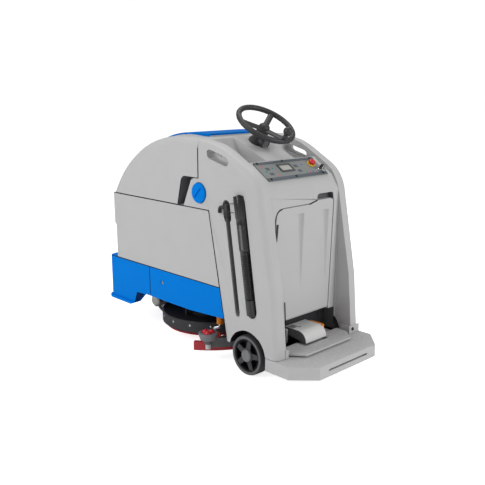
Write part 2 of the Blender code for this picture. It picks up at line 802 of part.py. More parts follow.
def make_frame():
    """Welded frame: two rails, cross members, axle plates and the deck's guide sleeves."""
    half = RAIL_WIDTH / 2
    rails = [
        box("rail", (side * RAIL_X - half, FRAME_BACK_Y + CLEAR, FRAME_LOW_Z),
            (side * RAIL_X + half, FRAME_FRONT_Y, FRAME_TOP_Z)) for name, side in SIDES]
    frame = rails[0]
    fuse(frame, rails[1])
    front_low = DRIVE_Y - FRONT_PLATE_DEPTH / 2
    post_half = POST_DEPTH / 2
    cross_members = (
        (front_low, front_low + FRONT_PLATE_DEPTH, FRONT_PLATE_THICK),
        (ACTUATOR_Y - ACTUATOR_R, ACTUATOR_Y + ACTUATOR_R, CROSS_HEIGHT),
        (SQUEEGEE_MID_Y - 2 * post_half, SQUEEGEE_MID_Y + 2 * post_half, CROSS_HEIGHT))
    for low, high, height in cross_members:
        fuse(frame, box("cross_member", (-RAIL_X, low, FRAME_LOW_Z), (RAIL_X, high, FRAME_LOW_Z + height)))
    plate_in = RAIL_X - half / 4
    plate_out = RAIL_X + half + AXLE_PLATE_THICK - half / 2
    for name, side in SIDES:
        xs = sorted((side * plate_in, side * plate_out))
        fuse(frame, box("axle_plate", (xs[0], FRAME_BACK_Y + CLEAR, WHEEL_R - AXLE_PLATE_REACH),
                        (xs[1], -FRAME_BACK_Y, FRAME_TOP_Z - half / 2)))
        fuse(frame, rod_z("guide_sleeve", GUIDE_SLEEVE_LOW_Z, FRAME_LOW_Z + half / 2, side * RAIL_X,
                          DECK_Y, GUIDE_SLEEVE_R, 16))
    kick_y = FRAME_BACK_Y + KICK_GAP
    kick_x = CAVITY_HALF - KICK_GAP
    fuse(frame, box("kick_plate", (-kick_x, kick_y, WHEEL_R - AXLE_PLATE_REACH),
                    (kick_x, kick_y + KICK_THICK, KICK_TOP_Z)))
    cut(frame, rod_x("axle_bore", -HALF, HALF, 0, WHEEL_R, AXLE_R + CLEAR))
    cut(frame, rod_z("bearing_bore", FRAME_LOW_Z - PAST, FRAME_TOP_Z, 0, DRIVE_Y, BEARING_R + CLEAR))
    slot_x = POST_WIDTH / 2 + RUN
    slot_y = post_half + RUN
    cut(frame, box("post_slot", (-slot_x, SQUEEGEE_MID_Y - slot_y, FRAME_LOW_Z - PAST),
                   (slot_x, SQUEEGEE_MID_Y + slot_y, FRAME_TOP_Z)))
    for name, side in SIDES:
        cut(frame, rod_z("guide_bore", GUIDE_SLEEVE_LOW_Z - PAST, GUIDE_ROD_TOP_Z + half, side * RAIL_X,
                         DECK_Y, GUIDE_ROD_R + RUN, 16))
    finish(frame, "chassis_frame", FRAME_STEEL)


def make_rear_wheels():
    """Axle, and on each end a tyre, a five-spoke hub and the cap that keeps them on."""
    hub_face = WHEEL_FACE - HUB_INSET
    hub_back = WHEEL_BACK + HUB_BACK_INSET
    axle_end = hub_face + CLEAR
    finish(rod_x("axle", -axle_end, axle_end, 0, WHEEL_R, AXLE_R), "rear_axle", BARE_STEEL)
    shoulder = WHEEL_R - EDGE
    half = WHEEL_WIDTH / 2
    middle = WHEEL_FACE - half
    tyre_profile = [
        (WHEEL_RIM_R, half), (shoulder, half), (WHEEL_R, half - 2 * EDGE), (WHEEL_R, -half + 2 * EDGE),
        (shoulder, -half), (WHEEL_RIM_R, -half)]
    hub_r = WHEEL_RIM_R - CLEAR
    bore = AXLE_R + RUN
    hub_profile = [
        (bore, hub_face - middle), (hub_r, hub_face - middle), (hub_r, hub_back - middle),
        (bore, hub_back - middle)]
    step = 360 / WHEEL_SPOKES
    pocket_inner = AXLE_CAP_R + HUB_WALL
    pocket_outer = hub_r - HUB_WALL
    spread = step * SPOKE_SHARE
    for name, side in SIDES:
        centre = (side * middle, 0, WHEEL_R)
        tyre = turned("tyre", tyre_profile, centre, X_AXIS * side, WHEEL_SIDES)
        finish(tyre, f"{name}_rear_tyre", BLACK_RUBBER)
        hub = turned("hub", hub_profile, centre, X_AXIS * side, WHEEL_SIDES)
        face = sorted((side * (hub_face + PAST), side * (hub_face - HUB_POCKET_DEPTH)))
        for index in range(WHEEL_SPOKES):
            heading = HUB_TURN_DEG + index * step
            outline = arc((0, WHEEL_R), pocket_outer, heading - spread, heading + spread, 4)
            outline += arc((0, WHEEL_R), pocket_inner, heading + spread / 2, heading - spread / 2, 2)
            cut(hub, prism("pocket", outline, "X", face[0], face[1]))
        finish(hub, f"{name}_rear_hub", BLACK_PLASTIC)
        cap = rod("cap", (side * (axle_end + CLEAR), 0, WHEEL_R),
                  (side * (axle_end + AXLE_CAP_LENGTH), 0, WHEEL_R), AXLE_CAP_R, AXLE_CAP_R - EDGE / 2)
        finish(cap, f"{name}_axle_cap", DARK_GREY)


def make_platform():
    """Moulded platform the operator stands on, with its ears, pedal brackets and peg holes."""
    half = PLATFORM_HALF
    tongue = WHEEL_BACK - TONGUE_GAP
    front = FRAME_BACK_Y
    shelf = -WHEEL_R - ARCH_GAP
    right_side = [
        (tongue, front), (tongue, shelf), (half, shelf), (half, -REAR_REACH + PLATFORM_CHAMFER),
        (half - PLATFORM_CHAMFER, -REAR_REACH)]
    outline = [(-x, y) for x, y in right_side] + list(reversed(right_side))
    low = PLATFORM_TOP_Z - PLATFORM_THICK
    platform = prism("platform", outline, "Z", low, PLATFORM_TOP_Z)
    ear_out = WING_INNER - CLEAR
    bracket_in = PEDAL_WIDTH / 2 + PEDAL_SIDE_GAP
    root = PLATFORM_TOP_Z - PLATFORM_THICK / 2
    for name, side in SIDES:
        xs = sorted((side * (ear_out - EAR_THICK), side * ear_out))
        fuse(platform, box("ear", (xs[0], WING_BACK_Y, root),
                           (xs[1], WING_BACK_Y + EAR_LENGTH, PLATFORM_TOP_Z + EAR_HEIGHT)))
        xs = sorted((side * bracket_in, side * (bracket_in + BRACKET_THICK)))
        fuse(platform, box("pedal_bracket", (xs[0], PEDAL_AXIS_Y - PEDAL_BOSS, root),
                           (xs[1], PEDAL_AXIS_Y + PEDAL_BOSS - CLEAR, PEDAL_AXIS_Z + PEDAL_BOSS)))
    cut(platform, rod_x("pedal_bore", -PEDAL_WIDTH, PEDAL_WIDTH, PEDAL_AXIS_Y, PEDAL_AXIS_Z,
                        PEDAL_SHAFT_R + CLEAR, 12))
    hole_low = STEP_TOP_Z - STEP_THICK - PEG_LENGTH - PEG_INSET_Y
    for x, y in step_pegs():
        cut(platform, rod_z("peg_hole", hole_low, PLATFORM_TOP_Z + PAST, x, y, STEP_PEG_R + RUN, 12))
    groove = stadium((-GROOVE_HALF, root), (GROOVE_HALF, root), GROOVE_R, 3)
    cut(platform, prism("groove", groove, "Y", -REAR_REACH - PAST, -REAR_REACH + GROOVE_DEPTH))
    finish(platform, "platform", GREY_MOULDING)


def step_pegs():
    """Places of the four guide pegs under the step plate."""
    x = STEP_HALF - PEG_INSET_X
    first = STEP_FRONT_Y - PEG_INSET_Y
    return [(side * x, y) for name, side in SIDES for y in (first, first - PEG_SPACING)]


def make_step_plate():
    """Raised tread plate that senses the operator, guided by pegs in the platform."""
    half = STEP_HALF
    notch = PEDAL_WIDTH / 2 + PEDAL_NOTCH_GAP
    notch_y = PEDAL_BACK_Y - PEDAL_NOTCH_GAP
    right_side = [
        (notch, notch_y), (notch, STEP_FRONT_Y), (half, STEP_FRONT_Y),
        (half, STEP_BACK_Y + STEP_CHAMFER_Y), (half - STEP_CHAMFER_X, STEP_BACK_Y)]
    outline = [(-x, y) for x, y in right_side] + list(reversed(right_side))
    low = STEP_TOP_Z - STEP_THICK
    plate = prism("plate", outline, "Z", low, STEP_TOP_Z)
    for x, y in step_pegs():
        fuse(plate, rod_z("peg", low - PEG_LENGTH, low + STEP_THICK / 2, x, y, STEP_PEG_R, 12))
    finish(plate, "step_plate", GREY_MOULDING, (0, (STEP_BACK_Y + STEP_FRONT_Y) / 2, low))


def make_pedal():
    """Foot pedal: a bent hood with two cheeks, turning on a shaft at its front."""
    half = PEDAL_WIDTH / 2
    front = PEDAL_AXIS_Y + PEDAL_BOSS
    hood_outline = rounded([
        (PEDAL_BACK_Y, PEDAL_BOTTOM_Z, 0), (PEDAL_BACK_Y + PEDAL_WALL, PEDAL_BOTTOM_Z, 0),
        (PEDAL_BACK_Y + PEDAL_WALL, PEDAL_TOP_Z - PEDAL_WALL, PEDAL_NOSE_R - PEDAL_WALL),
        (front, PEDAL_TOP_Z - PEDAL_WALL, 0), (front, PEDAL_TOP_Z, 0),
        (PEDAL_BACK_Y, PEDAL_TOP_Z, PEDAL_NOSE_R)])
    pedal = prism("pedal", hood_outline, "X", -half, half)
    cheek_outline = rounded([
        (PEDAL_BACK_Y, PEDAL_BOTTOM_Z, 0), (front, PEDAL_AXIS_Z - PEDAL_BOSS, 0),
        (front, PEDAL_TOP_Z, 0), (PEDAL_BACK_Y, PEDAL_TOP_Z, PEDAL_NOSE_R)])
    for name, side in SIDES:
        xs = sorted((side * half, side * (half - PEDAL_WALL)))
        fuse(pedal, prism("cheek", cheek_outline, "X", xs[0], xs[1]))
    cut(pedal, rod_x("pivot", -PEDAL_WIDTH, PEDAL_WIDTH, PEDAL_AXIS_Y, PEDAL_AXIS_Z, PEDAL_SHAFT_R + RUN, 12))
    finish(pedal, "drive_pedal", GREY_MOULDING, (0, PEDAL_AXIS_Y, PEDAL_AXIS_Z))
    reach = half + PEDAL_SIDE_GAP + BRACKET_THICK
    shaft = rod_x("shaft", -reach, reach, PEDAL_AXIS_Y, PEDAL_AXIS_Z, PEDAL_SHAFT_R, 12)
    finish(shaft, "pedal_shaft", BARE_STEEL)


def make_lower_body():
    """Lower grey tub: solution tank walls round an open battery bay, with hinge ears on the right."""
    top = SEAM_Z - CLEAR
    lower_front = TUB_FRONT_Y - TUB_SETBACK
    outline = [
        (wing_front_y(TUB_BOTTOM_Z) + SEAM_GAP, TUB_BOTTOM_Z), (lower_front, TUB_BOTTOM_Z),
        (lower_front, TUB_LEDGE_Z - TUB_SETBACK), (TUB_FRONT_Y, TUB_LEDGE_Z), (TUB_FRONT_Y, top),
        (wing_front_y(top) + SEAM_GAP, top)]
    tub = prism("tub", outline, "X", -HALF, HALF)
    front_limit = lower_front - CLEAR
    round_edges(tub, TUB_CORNER_R, 4, lambda a, b: (
        min(a.y, b.y) > front_limit and abs(abs(a.x) - HALF) < CLEAR and abs(a.x - b.x) < CLEAR))
    cut(tub, box("battery_bay", (-HALF + TUB_WALL, TANK_BACK_Y + BAY_BACK_GAP, BAY_FLOOR_Z),
                 (HALF - TUB_WALL, lower_front - TUB_WALL, SEAM_Z + TUB_WALL)))
    for place, towards in HINGES:
        ys = sorted((place, place - towards * HINGE_LUG_LENGTH))
        fuse(tub, rod_y("tub_lug", *ys, HINGE_X, SEAM_Z, HINGE_LUG_R, 16))
        fuse(tub, box("tub_web", (HALF - HINGE_LUG_R, ys[0], SEAM_Z - 2 * HINGE_LUG_R),
                      (HINGE_X, ys[1], SEAM_Z - 3 * CLEAR)))
    cut(tub, rod_y("hinge_bore", 0, TUB_FRONT_Y, HINGE_X, SEAM_Z, HINGE_ROD_R + CLEAR, 12))
    finish(tub, "lower_body", GREY_MOULDING)
    hinge = rod_y("hinge", HINGE_BACK_Y - HINGE_LUG_LENGTH, HINGE_FRONT_Y + HINGE_LUG_LENGTH, HINGE_X,
                  SEAM_Z, HINGE_ROD_R, 12)
    finish(hinge, "tank_hinge_rod", BARE_STEEL)


def u_outline(outer, front, back, thick, radius):
    """A U in plan that opens towards the back."""
    inner = outer - thick
    return rounded([
        (-outer, back, 0), (-inner, back, 0), (-inner, front - thick, max(radius - thick, EDGE)),
        (inner, front - thick, max(radius - thick, EDGE)), (inner, back, 0), (outer, back, 0),
        (outer, front, radius), (-outer, front, radius)])


def make_skirts():
    """Blue front bumper with its flared lip, and the two blue side skirts."""
    top = FRAME_TOP_Z
    bumper = prism("bumper", u_outline(HALF, BUMPER_FRONT_Y, BUMPER_BACK_Y, BUMPER_THICK, BUMPER_CORNER_R),
                   "Z", LIP_BOTTOM_Z, top)
    flange = u_outline(HALF - BUMPER_THICK / 2, BUMPER_FRONT_Y - BUMPER_THICK / 2, BUMPER_BACK_Y,
                       BUMPER_FLANGE, BUMPER_CORNER_R)
    fuse(bumper, prism("flange", flange, "Z", top - BUMPER_THICK, top))
    lip = u_outline(HALF + LIP_FLARE, FRONT_REACH, BUMPER_BACK_Y + LIP_BACK, LIP_FLARE + BUMPER_THICK / 2,
                    BUMPER_CORNER_R + LIP_FLARE)
    fuse(bumper, prism("lip", lip, "Z", LIP_BOTTOM_Z, LIP_BOTTOM_Z + LIP_HEIGHT))
    low = LIP_BOTTOM_Z - PAST
    notch = [
        (BUMPER_BACK_Y - PAST, low), (BUMPER_BACK_Y + NOTCH_FOOT, low),
        (BUMPER_BACK_Y + NOTCH_FOOT, LIP_BOTTOM_Z),
        (BUMPER_BACK_Y + NOTCH_KNEE, LIP_BOTTOM_Z + NOTCH_KNEE_RISE),
        (BUMPER_BACK_Y + NOTCH_BACK, SKIRT_BELLY_Z), (BUMPER_BACK_Y - PAST, SKIRT_BELLY_Z)]
    cut(bumper, prism("notch", notch, "X", -BODY_WIDTH, BODY_WIDTH))
    finish(bumper, "front_bumper", BLUE_MOULDING)
    outline = [
        (wing_front_y(SKIRT_BOTTOM_Z) + SEAM_GAP, SKIRT_BOTTOM_Z), (SKIRT_BELLY_Y, SKIRT_BELLY_Z),
        (BUMPER_BACK_Y - CLEAR, SKIRT_BELLY_Z), (BUMPER_BACK_Y - CLEAR, top),
        (wing_front_y(top) + SEAM_GAP, top)]
    for name, side in SIDES:
        xs = sorted((side * HALF, side * (HALF - SKIRT_THICK)))
        skirt = prism("skirt", outline, "X", xs[0], xs[1])
        cut(skirt, rod_x("skirt_hole", xs[0] - PAST, xs[1] + PAST, SKIRT_HOLE_Y, SKIRT_HOLE_Z,
                         SKIRT_HOLE_R, 16))
        finish(skirt, f"{name}_side_skirt", BLUE_MOULDING)


def door_outline():
    """Rear door seen from behind: its right end stands a little higher than its left."""
    return rounded([
        (-DOOR_BOTTOM_HALF, DOOR_AXIS_Z, 0), (DOOR_BOTTOM_HALF, DOOR_AXIS_Z, 0),
        (DOOR_TOP_HALF, DOOR_RIGHT_Z, DOOR_STEP_R), (DOOR_STEP_X + DOOR_STEP_RUN, DOOR_RIGHT_Z, DOOR_STEP_R),
        (DOOR_STEP_X, DOOR_LEFT_Z, DOOR_STEP_R), (-DOOR_TOP_HALF, DOOR_LEFT_Z, DOOR_CORNER_R)], 4)


def drain_line():
    """Top of the drain hose's plug, the way down its channel and the length down to the cuff's end."""
    x = -HALF + DRAIN_CHANNEL_DEPTH - CLEAR - DRAIN_PLUG_R
    top = Vector((x, DRAIN_TOP_Y, DRAIN_TOP_Z))
    run = Vector((x, DRAIN_FOOT_Y, DRAIN_FOOT_Z)) - top
    return top, run.normalized(), run.length


def level_line():
    """Top of the level hose's fitting, the way down its channel and the length down to the hose's end."""
    x = -HALF + LEVEL_CHANNEL_DEPTH - CLEAR - LEVEL_FITTING_R
    top = Vector((x, LEVEL_TOP_Y, LEVEL_TOP_Z))
    run = Vector((x, LEVEL_FOOT_Y, LEVEL_FOOT_Z)) - top
    return top, run.normalized(), run.length


def make_console():
    """Grey rear console: two wings, rear wall, dash and steering pedestal in one moulding."""
    foot_z = PLATFORM_TOP_Z + CLEAR
    seam = SEAM_Z + CLEAR
    front = TANK_BACK_Y - SEAM_GAP
    outline = rounded([
        (WING_BACK_Y, foot_z, 0), (0, foot_z, 0), (0, WING_FOOT_Z, 0),
        (WING_FOOT_Y, WING_FOOT_Z, WING_FOOT_R), (WING_SEAM_Y, seam, 0), (front, seam, 0),
        (front, CONSOLE_TOP_Z, 0), (BROW_Y, BROW_Z, BROW_R), (SHOULDER_Y, SHOULDER_Z, SHOULDER_R),
        (WING_BELLY_Y, WING_BELLY_Z, 0)], 6)
    console = prism("console", outline, "X", -HALF, HALF)

    def is_back_edge(a, b):
        """Whether an edge runs along the outer back or top of a wing."""
        on_side = abs(abs(a.x) - HALF) < CLEAR and abs(a.x - b.x) < CLEAR
        above = min(a.z, b.z) > foot_z - CLEAR and max(a.z, b.z) > foot_z + CLEAR
        behind = min(a.y, b.y) < front - CLEAR
        leads_back = min(a.y, b.y) < SHOULDER_Y + CLEAR or min(a.z, b.z) > (SEAM_Z + SHOULDER_Z) / 2
        return on_side and above and behind and leads_back and abs(a.y - b.y) + abs(a.z - b.z) > CLEAR

    round_edges(console, WING_EDGE_R, 3, is_back_edge)

    tab = rounded([
        (front - PAST, seam, 0), (TAB_FOOT_Y, seam, 0), (TAB_TOP_Y, TAB_TOP_Z, TAB_CORNER_R),
        (front - PAST, TAB_TOP_Z, 0)])
    tab_inner = -HALF + NOTCH_DEPTH - 4 * CLEAR
    fuse(console, prism("tab", tab, "X", -HALF, tab_inner))

    above = CONSOLE_TOP_Z + PAST
    behind = WING_BACK_Y - PAST
    top_y = PEDESTAL_Y + (above - PEDESTAL_Z) / PEDESTAL_RISE
    footwell = [
        (top_y, above), (behind, above), (behind, 0), (WALL_BACK_Y, 0), (WALL_BACK_Y, FOREHEAD_Z),
        (DASH_LOW_Y, DASH_LOW_Z), (DASH_HIGH_Y, DASH_HIGH_Z), (PEDESTAL_Y, PEDESTAL_Z)]
    cut(console, prism("footwell", footwell, "X", -WING_INNER, WING_INNER))
    under_door = DOOR_BOTTOM_Z - DOOR_FOOT_GAP
    cavity = [
        (behind, 0), (front - CONSOLE_WALL, 0), (front - CONSOLE_WALL, TROUGH_FLOOR_Z - TROUGH_THICK),
        (DASH_HIGH_Y, DASH_HIGH_Z - ROOF_THICK), (WALL_FRONT_Y, DASH_LOW_Z - ROOF_THICK),
        (WALL_FRONT_Y, under_door), (behind, under_door)]
    cut(console, prism("cavity", cavity, "X", -CAVITY_HALF, CAVITY_HALF))
    for name, side in SIDES:
        xs = sorted((side * PEDESTAL_WIDTH / 2, side * WING_INNER))
        trough_back = DASH_HIGH_Y + TROUGH_BACK_GAP
        trough = [(trough_back, above), (trough_back, TROUGH_FLOOR_Z), (TROUGH_TURN_Y, TROUGH_FLOOR_Z),
                  (TROUGH_FRONT_Y, above)]
        cut(console, prism("trough", trough, "X", xs[0], xs[1]))
        along = Vector((math.cos(GRIP_TILT), math.sin(GRIP_TILT))) * (GRIP_LENGTH - GRIP_HEIGHT) / 2
        middle = Vector((GRIP_Y, GRIP_Z))
        grip = stadium(middle - along, middle + along, GRIP_HEIGHT / 2, 4)
        cut(console, prism("grip", grip, "X", *sorted((side * (WING_INNER - PAST), side * (HALF + PAST)))))
        arch = sorted((side * (WHEEL_BACK - ARCH_SIDE_GAP), side * BODY_WIDTH))
        cut(console, rod_x("wheel_arch", *arch, 0, WHEEL_R, WHEEL_R + ARCH_GAP, 40))

    pocket = grown(door_outline(), DOOR_GAP)
    cut(console, prism("door_pocket", pocket, "Y", WALL_BACK_Y - PAST, DOOR_BACK_Y + CLEAR))
    door_foot = DOOR_BOTTOM_HALF + DOOR_GAP
    cut(console, box("door_foot_pocket", (-door_foot, WALL_BACK_Y - PAST, under_door - PAST),
                     (door_foot, DOOR_BACK_Y + CLEAR, DOOR_AXIS_Z + DOOR_GAP)))
    scoop_right = DOOR_TOP_HALF - SCOOP_INSET
    scoop = rounded([
        (SCOOP_LEFT_X, DOOR_RIGHT_Z - PAST, 0), (scoop_right, DOOR_RIGHT_Z - PAST, 0),
        (scoop_right, SCOOP_TOP_Z, SCOOP_R), (SCOOP_LEFT_X, SCOOP_TOP_Z, SCOOP_R)])
    cut(console, prism("scoop", scoop, "Y", WALL_BACK_Y - PAST, DOOR_BACK_Y + CLEAR))
    cut(console, box("door_opening", (-DOOR_OPENING_HALF, WALL_BACK_Y - PAST, DOOR_OPENING_LOW_Z),
                     (DOOR_OPENING_HALF, WALL_FRONT_Y + PAST, DOOR_OPENING_HIGH_Z)))
    pin_reach = DOOR_BOTTOM_HALF + DOOR_GAP + DOOR_PIN_REACH + CLEAR
    cut(console, rod_x("door_pin_hole", -pin_reach, pin_reach, DOOR_AXIS_Y, DOOR_AXIS_Z,
                       DOOR_PIN_R + CLEAR, 12))

    top, along, length = drain_line()
    foot = top + along * (length - DRAIN_INSET)
    channel = stadium((top + along * DRAIN_INSET).yz, foot.yz, DRAIN_CHANNEL_R)
    cut(console, prism("drain_channel", channel, "X", -HALF - PAST, -HALF + DRAIN_CHANNEL_DEPTH))
    top, along, length = level_line()
    fitting_end = top + along * LEVEL_FITTING_LENGTH
    channel = stadium((top + along * LEVEL_INSET).yz, fitting_end.yz, LEVEL_CHANNEL_R)
    cut(console, prism("level_channel", channel, "X", -HALF - PAST, -HALF + LEVEL_CHANNEL_DEPTH))
    foot = top + along * (length + LEVEL_TAIL)
    groove = stadium(fitting_end.yz, foot.yz, LEVEL_GROOVE_R)
    cut(console, prism("level_groove", groove, "X", -HALF - PAST, -HALF + LEVEL_GROOVE_DEPTH))
    cut(console, rod_x("neck_seat", -HALF - PAST, -HALF + NECK_DEPTH + CLEAR, CAP_Y, CAP_Z,
                       NECK_R + CLEAR, 32))
    cut(console, rod("boot_seat", column_point(0), column_point(BOOT_SEAT), BOOT_BASE_R + CLEAR, sides=24))
    cut(console, rod("shaft_bore", column_point(0), column_point(SHAFT_END + CLEAR), SHAFT_R + RUN, sides=20))
    finish(console, "console_shell", GREY_MOULDING)


def make_door():
    """Rear service door with its two flutes, turning on a rod along its foot."""
    outer = WALL_BACK_Y
    inner = DOOR_BACK_Y - CLEAR
    door = prism("door", door_outline(), "Y", outer, inner)
    roll = (inner - outer) / 2
    axis_y = (inner + outer) / 2
    fuse(door, rod_x("door_roll", -DOOR_BOTTOM_HALF, DOOR_BOTTOM_HALF, axis_y, DOOR_AXIS_Z, roll, 16))
    for x in (FLUTE_LEFT_X, FLUTE_RIGHT_X):
        cut(door, rod("flute", (x, outer - FLUTE_TOP_R + FLUTE_DEPTH, FLUTE_TOP_Z),
                      (x, outer - FLUTE_FOOT_R, FLUTE_FOOT_Z), FLUTE_TOP_R, FLUTE_FOOT_R, 20))
    cut(door, rod_x("door_bore", -BODY_WIDTH, BODY_WIDTH, DOOR_AXIS_Y, DOOR_AXIS_Z, DOOR_PIN_R + RUN, 12))
    finish(door, "rear_door", GREY_MOULDING, (0, DOOR_AXIS_Y, DOOR_AXIS_Z))
    reach = DOOR_BOTTOM_HALF + DOOR_GAP + DOOR_PIN_REACH
    pin = rod_x("pin", -reach, reach, DOOR_AXIS_Y, DOOR_AXIS_Z, DOOR_PIN_R, 12)
    finish(pin, "door_hinge_rod", BARE_STEEL)


def tank_outline(inset):
    """Side profile of the recovery tank, drawn in by a wall."""
    back = TANK_BACK_Y + inset
    low = SEAM_Z + CLEAR + inset
    radius = TANK_R - inset
    centre = (TANK_CREST_Y, TANK_CENTRE_Z)
    start = math.degrees(math.asin((low - TANK_CENTRE_Z) / radius))
    return [(back, low)] + arc(centre, radius, start, 90, 14) + [(back, TANK_CENTRE_Z + radius)]


def make_tank():
    """Recovery tank: a hollow dome that tips to the right, with a mouth under its lid."""
    tank = prism("tank", tank_outline(0), "X", -HALF, HALF)
    low = SEAM_Z + CLEAR
    back = TANK_BACK_Y
    round_edges(tank, TANK_EDGE_R, 4, lambda a, b: (
        abs(abs(a.x) - HALF) < CLEAR and abs(a.x - b.x) < CLEAR and max(a.z, b.z) > low + CLEAR
        and max(a.y, b.y) > back + CLEAR))
    chamber = tank_outline(TANK_FLOOR)
    cut(tank, prism("chamber", chamber, "X", -HALF + NOTCH_DEPTH + TANK_WALL / 2, HALF - TANK_WALL))
    cut(tank, box("mouth", (-MOUTH_WIDTH / 2, MOUTH_BACK_Y, (SEAM_Z + TANK_TOP_Z) / 2),
                  (MOUTH_WIDTH / 2, MOUTH_FRONT_Y, TANK_TOP_Z + PAST)))
    foot = TAB_FOOT_Y + RECESS_GAP
    top = TAB_TOP_Y + RECESS_TOP_GAP
    notch = rounded([
        (TANK_BACK_Y - PAST, SEAM_Z - PAST, 0), (foot, SEAM_Z - PAST, 0),
        (top, TAB_TOP_Z + 4 * CLEAR, TAB_CORNER_R), (TANK_BACK_Y - PAST, TAB_TOP_Z + 4 * CLEAR, 0)])
    cut(tank, prism("finger_notch", notch, "X", -HALF - PAST, -HALF + NOTCH_DEPTH))
    for place, towards in HINGES:
        near = place + towards * 2 * CLEAR
        ys = sorted((near, near + towards * HINGE_LUG_LENGTH))
        fuse(tank, rod_y("tank_lug", *ys, HINGE_X, SEAM_Z, HINGE_LUG_R, 16))
        fuse(tank, box("tank_web", (HALF - HINGE_LUG_R, ys[0], SEAM_Z + 3 * CLEAR),
                       (HINGE_X, ys[1], SEAM_Z + 2 * HINGE_LUG_R)))
    cut(tank, rod_y("tank_hinge_bore", 0, TUB_FRONT_Y, HINGE_X, SEAM_Z, HINGE_ROD_R + RUN, 12))
    half = LID_LUG_LENGTH / 2
    for towards in (-1, 1):
        ys = sorted((LID_LUG_Y + towards * (half + 2 * CLEAR), LID_LUG_Y + towards * LID_LUG_LENGTH))
        fuse(tank, rod_y("lid_lug", *ys, LID_HINGE_X, LID_HINGE_Z, LID_LUG_R, 12))
        foot_half = LID_LUG_R - EDGE / 2
        fuse(tank, box("lid_lug_foot", (LID_HINGE_X - foot_half, ys[0], TANK_TOP_Z - TANK_WALL / 2),
                       (LID_HINGE_X + foot_half, ys[1], LID_HINGE_Z)))
    cut(tank, rod_y("lid_lug_bore", LID_BACK_Y, TANK_CREST_Y, LID_HINGE_X, LID_HINGE_Z,
                    LID_ROD_R + CLEAR, 12))
    finish(tank, "recovery_tank", GREY_MOULDING, (HINGE_X, (HINGE_BACK_Y + HINGE_FRONT_Y) / 2, SEAM_Z))
    reach = LID_LUG_LENGTH
    pin = rod_y("lid_pin", LID_LUG_Y - reach, LID_LUG_Y + reach, LID_HINGE_X, LID_HINGE_Z, LID_ROD_R, 12)
    finish(pin, "lid_hinge_rod", BARE_STEEL)


def make_lid():
    """Blue lid that follows the tank's crown, hinged on the right, with a finger dip on the left."""
    half = LID_WIDTH / 2
    centre = (TANK_CREST_Y, TANK_CENTRE_Z)
    lower = TANK_R + CLEAR
    upper = TANK_R + LID_THICK
    start = math.degrees(math.acos((LID_FRONT_Y - TANK_CREST_Y) / TANK_R))
    outline = [(LID_BACK_Y, TANK_CENTRE_Z + lower)]
    outline += list(reversed(arc(centre, lower, start, 90, 6)))
    outline += arc(centre, upper, start, 90, 6) + [(LID_BACK_Y + EDGE, TANK_CENTRE_Z + upper)]
    lid = prism("lid", outline, "X", -half, half)
    dip_y = (LID_BACK_Y + LID_FRONT_Y) / 2
    dip_z = TANK_TOP_Z + LID_THICK - DIP_DEPTH + DIP_R
    cut(lid, rod_x("finger_dip", -half - PAST, -half + DIP_LENGTH, dip_y, dip_z, DIP_R))
    span = LID_LUG_LENGTH / 2
    fuse(lid, rod_y("lid_knuckle", LID_LUG_Y - span, LID_LUG_Y + span, LID_HINGE_X, LID_HINGE_Z,
                    LID_LUG_R, 12))
    fuse(lid, box("lid_web", (half - LID_LUG_R, LID_LUG_Y - span, TANK_TOP_Z + 2 * CLEAR),
                  (LID_HINGE_X, LID_LUG_Y + span, LID_HINGE_Z + LID_LUG_R / 2)))
    cut(lid, rod_y("lid_bore", LID_BACK_Y, TANK_CREST_Y, LID_HINGE_X, LID_HINGE_Z, LID_ROD_R + RUN, 12))
    finish(lid, "recovery_lid", BLUE_MOULDING, (LID_HINGE_X, LID_LUG_Y, LID_HINGE_Z))


def make_filler():
    """Filler neck in the tab and the quarter-turn cap on it."""
    neck = turned("neck", [
        (NECK_R - NECK_WALL, NECK_DEPTH), (NECK_R, NECK_DEPTH), (NECK_R, 0.0), (NECK_R - NECK_WALL, 0.0)],
        (-HALF + NECK_DEPTH, CAP_Y, CAP_Z), -X_AXIS)
    finish(neck, "fill_neck", BLACK_PLASTIC)
    face = -HALF - CLEAR
    cap = turned("cap", [
        (0.0, CAP_THICK), (CAP_R - EDGE, CAP_THICK), (CAP_R, CAP_THICK - EDGE), (CAP_R, 0.0), (0.0, 0.0)],
        (face, CAP_Y, CAP_Z), -X_AXIS)
    reach = CAP_R * CAP_SLOT_SHARE
    slot = stadium((CAP_Y - reach, CAP_Z + reach), (CAP_Y + reach, CAP_Z - reach), CAP_SLOT_R, 4)
    cut(cap, prism("cap_slot", slot, "X", face - CAP_THICK - PAST, face - CAP_THICK + CAP_SLOT_DEPTH))
    finish(cap, "fill_cap", BLUE_MOULDING, (face, CAP_Y, CAP_Z))


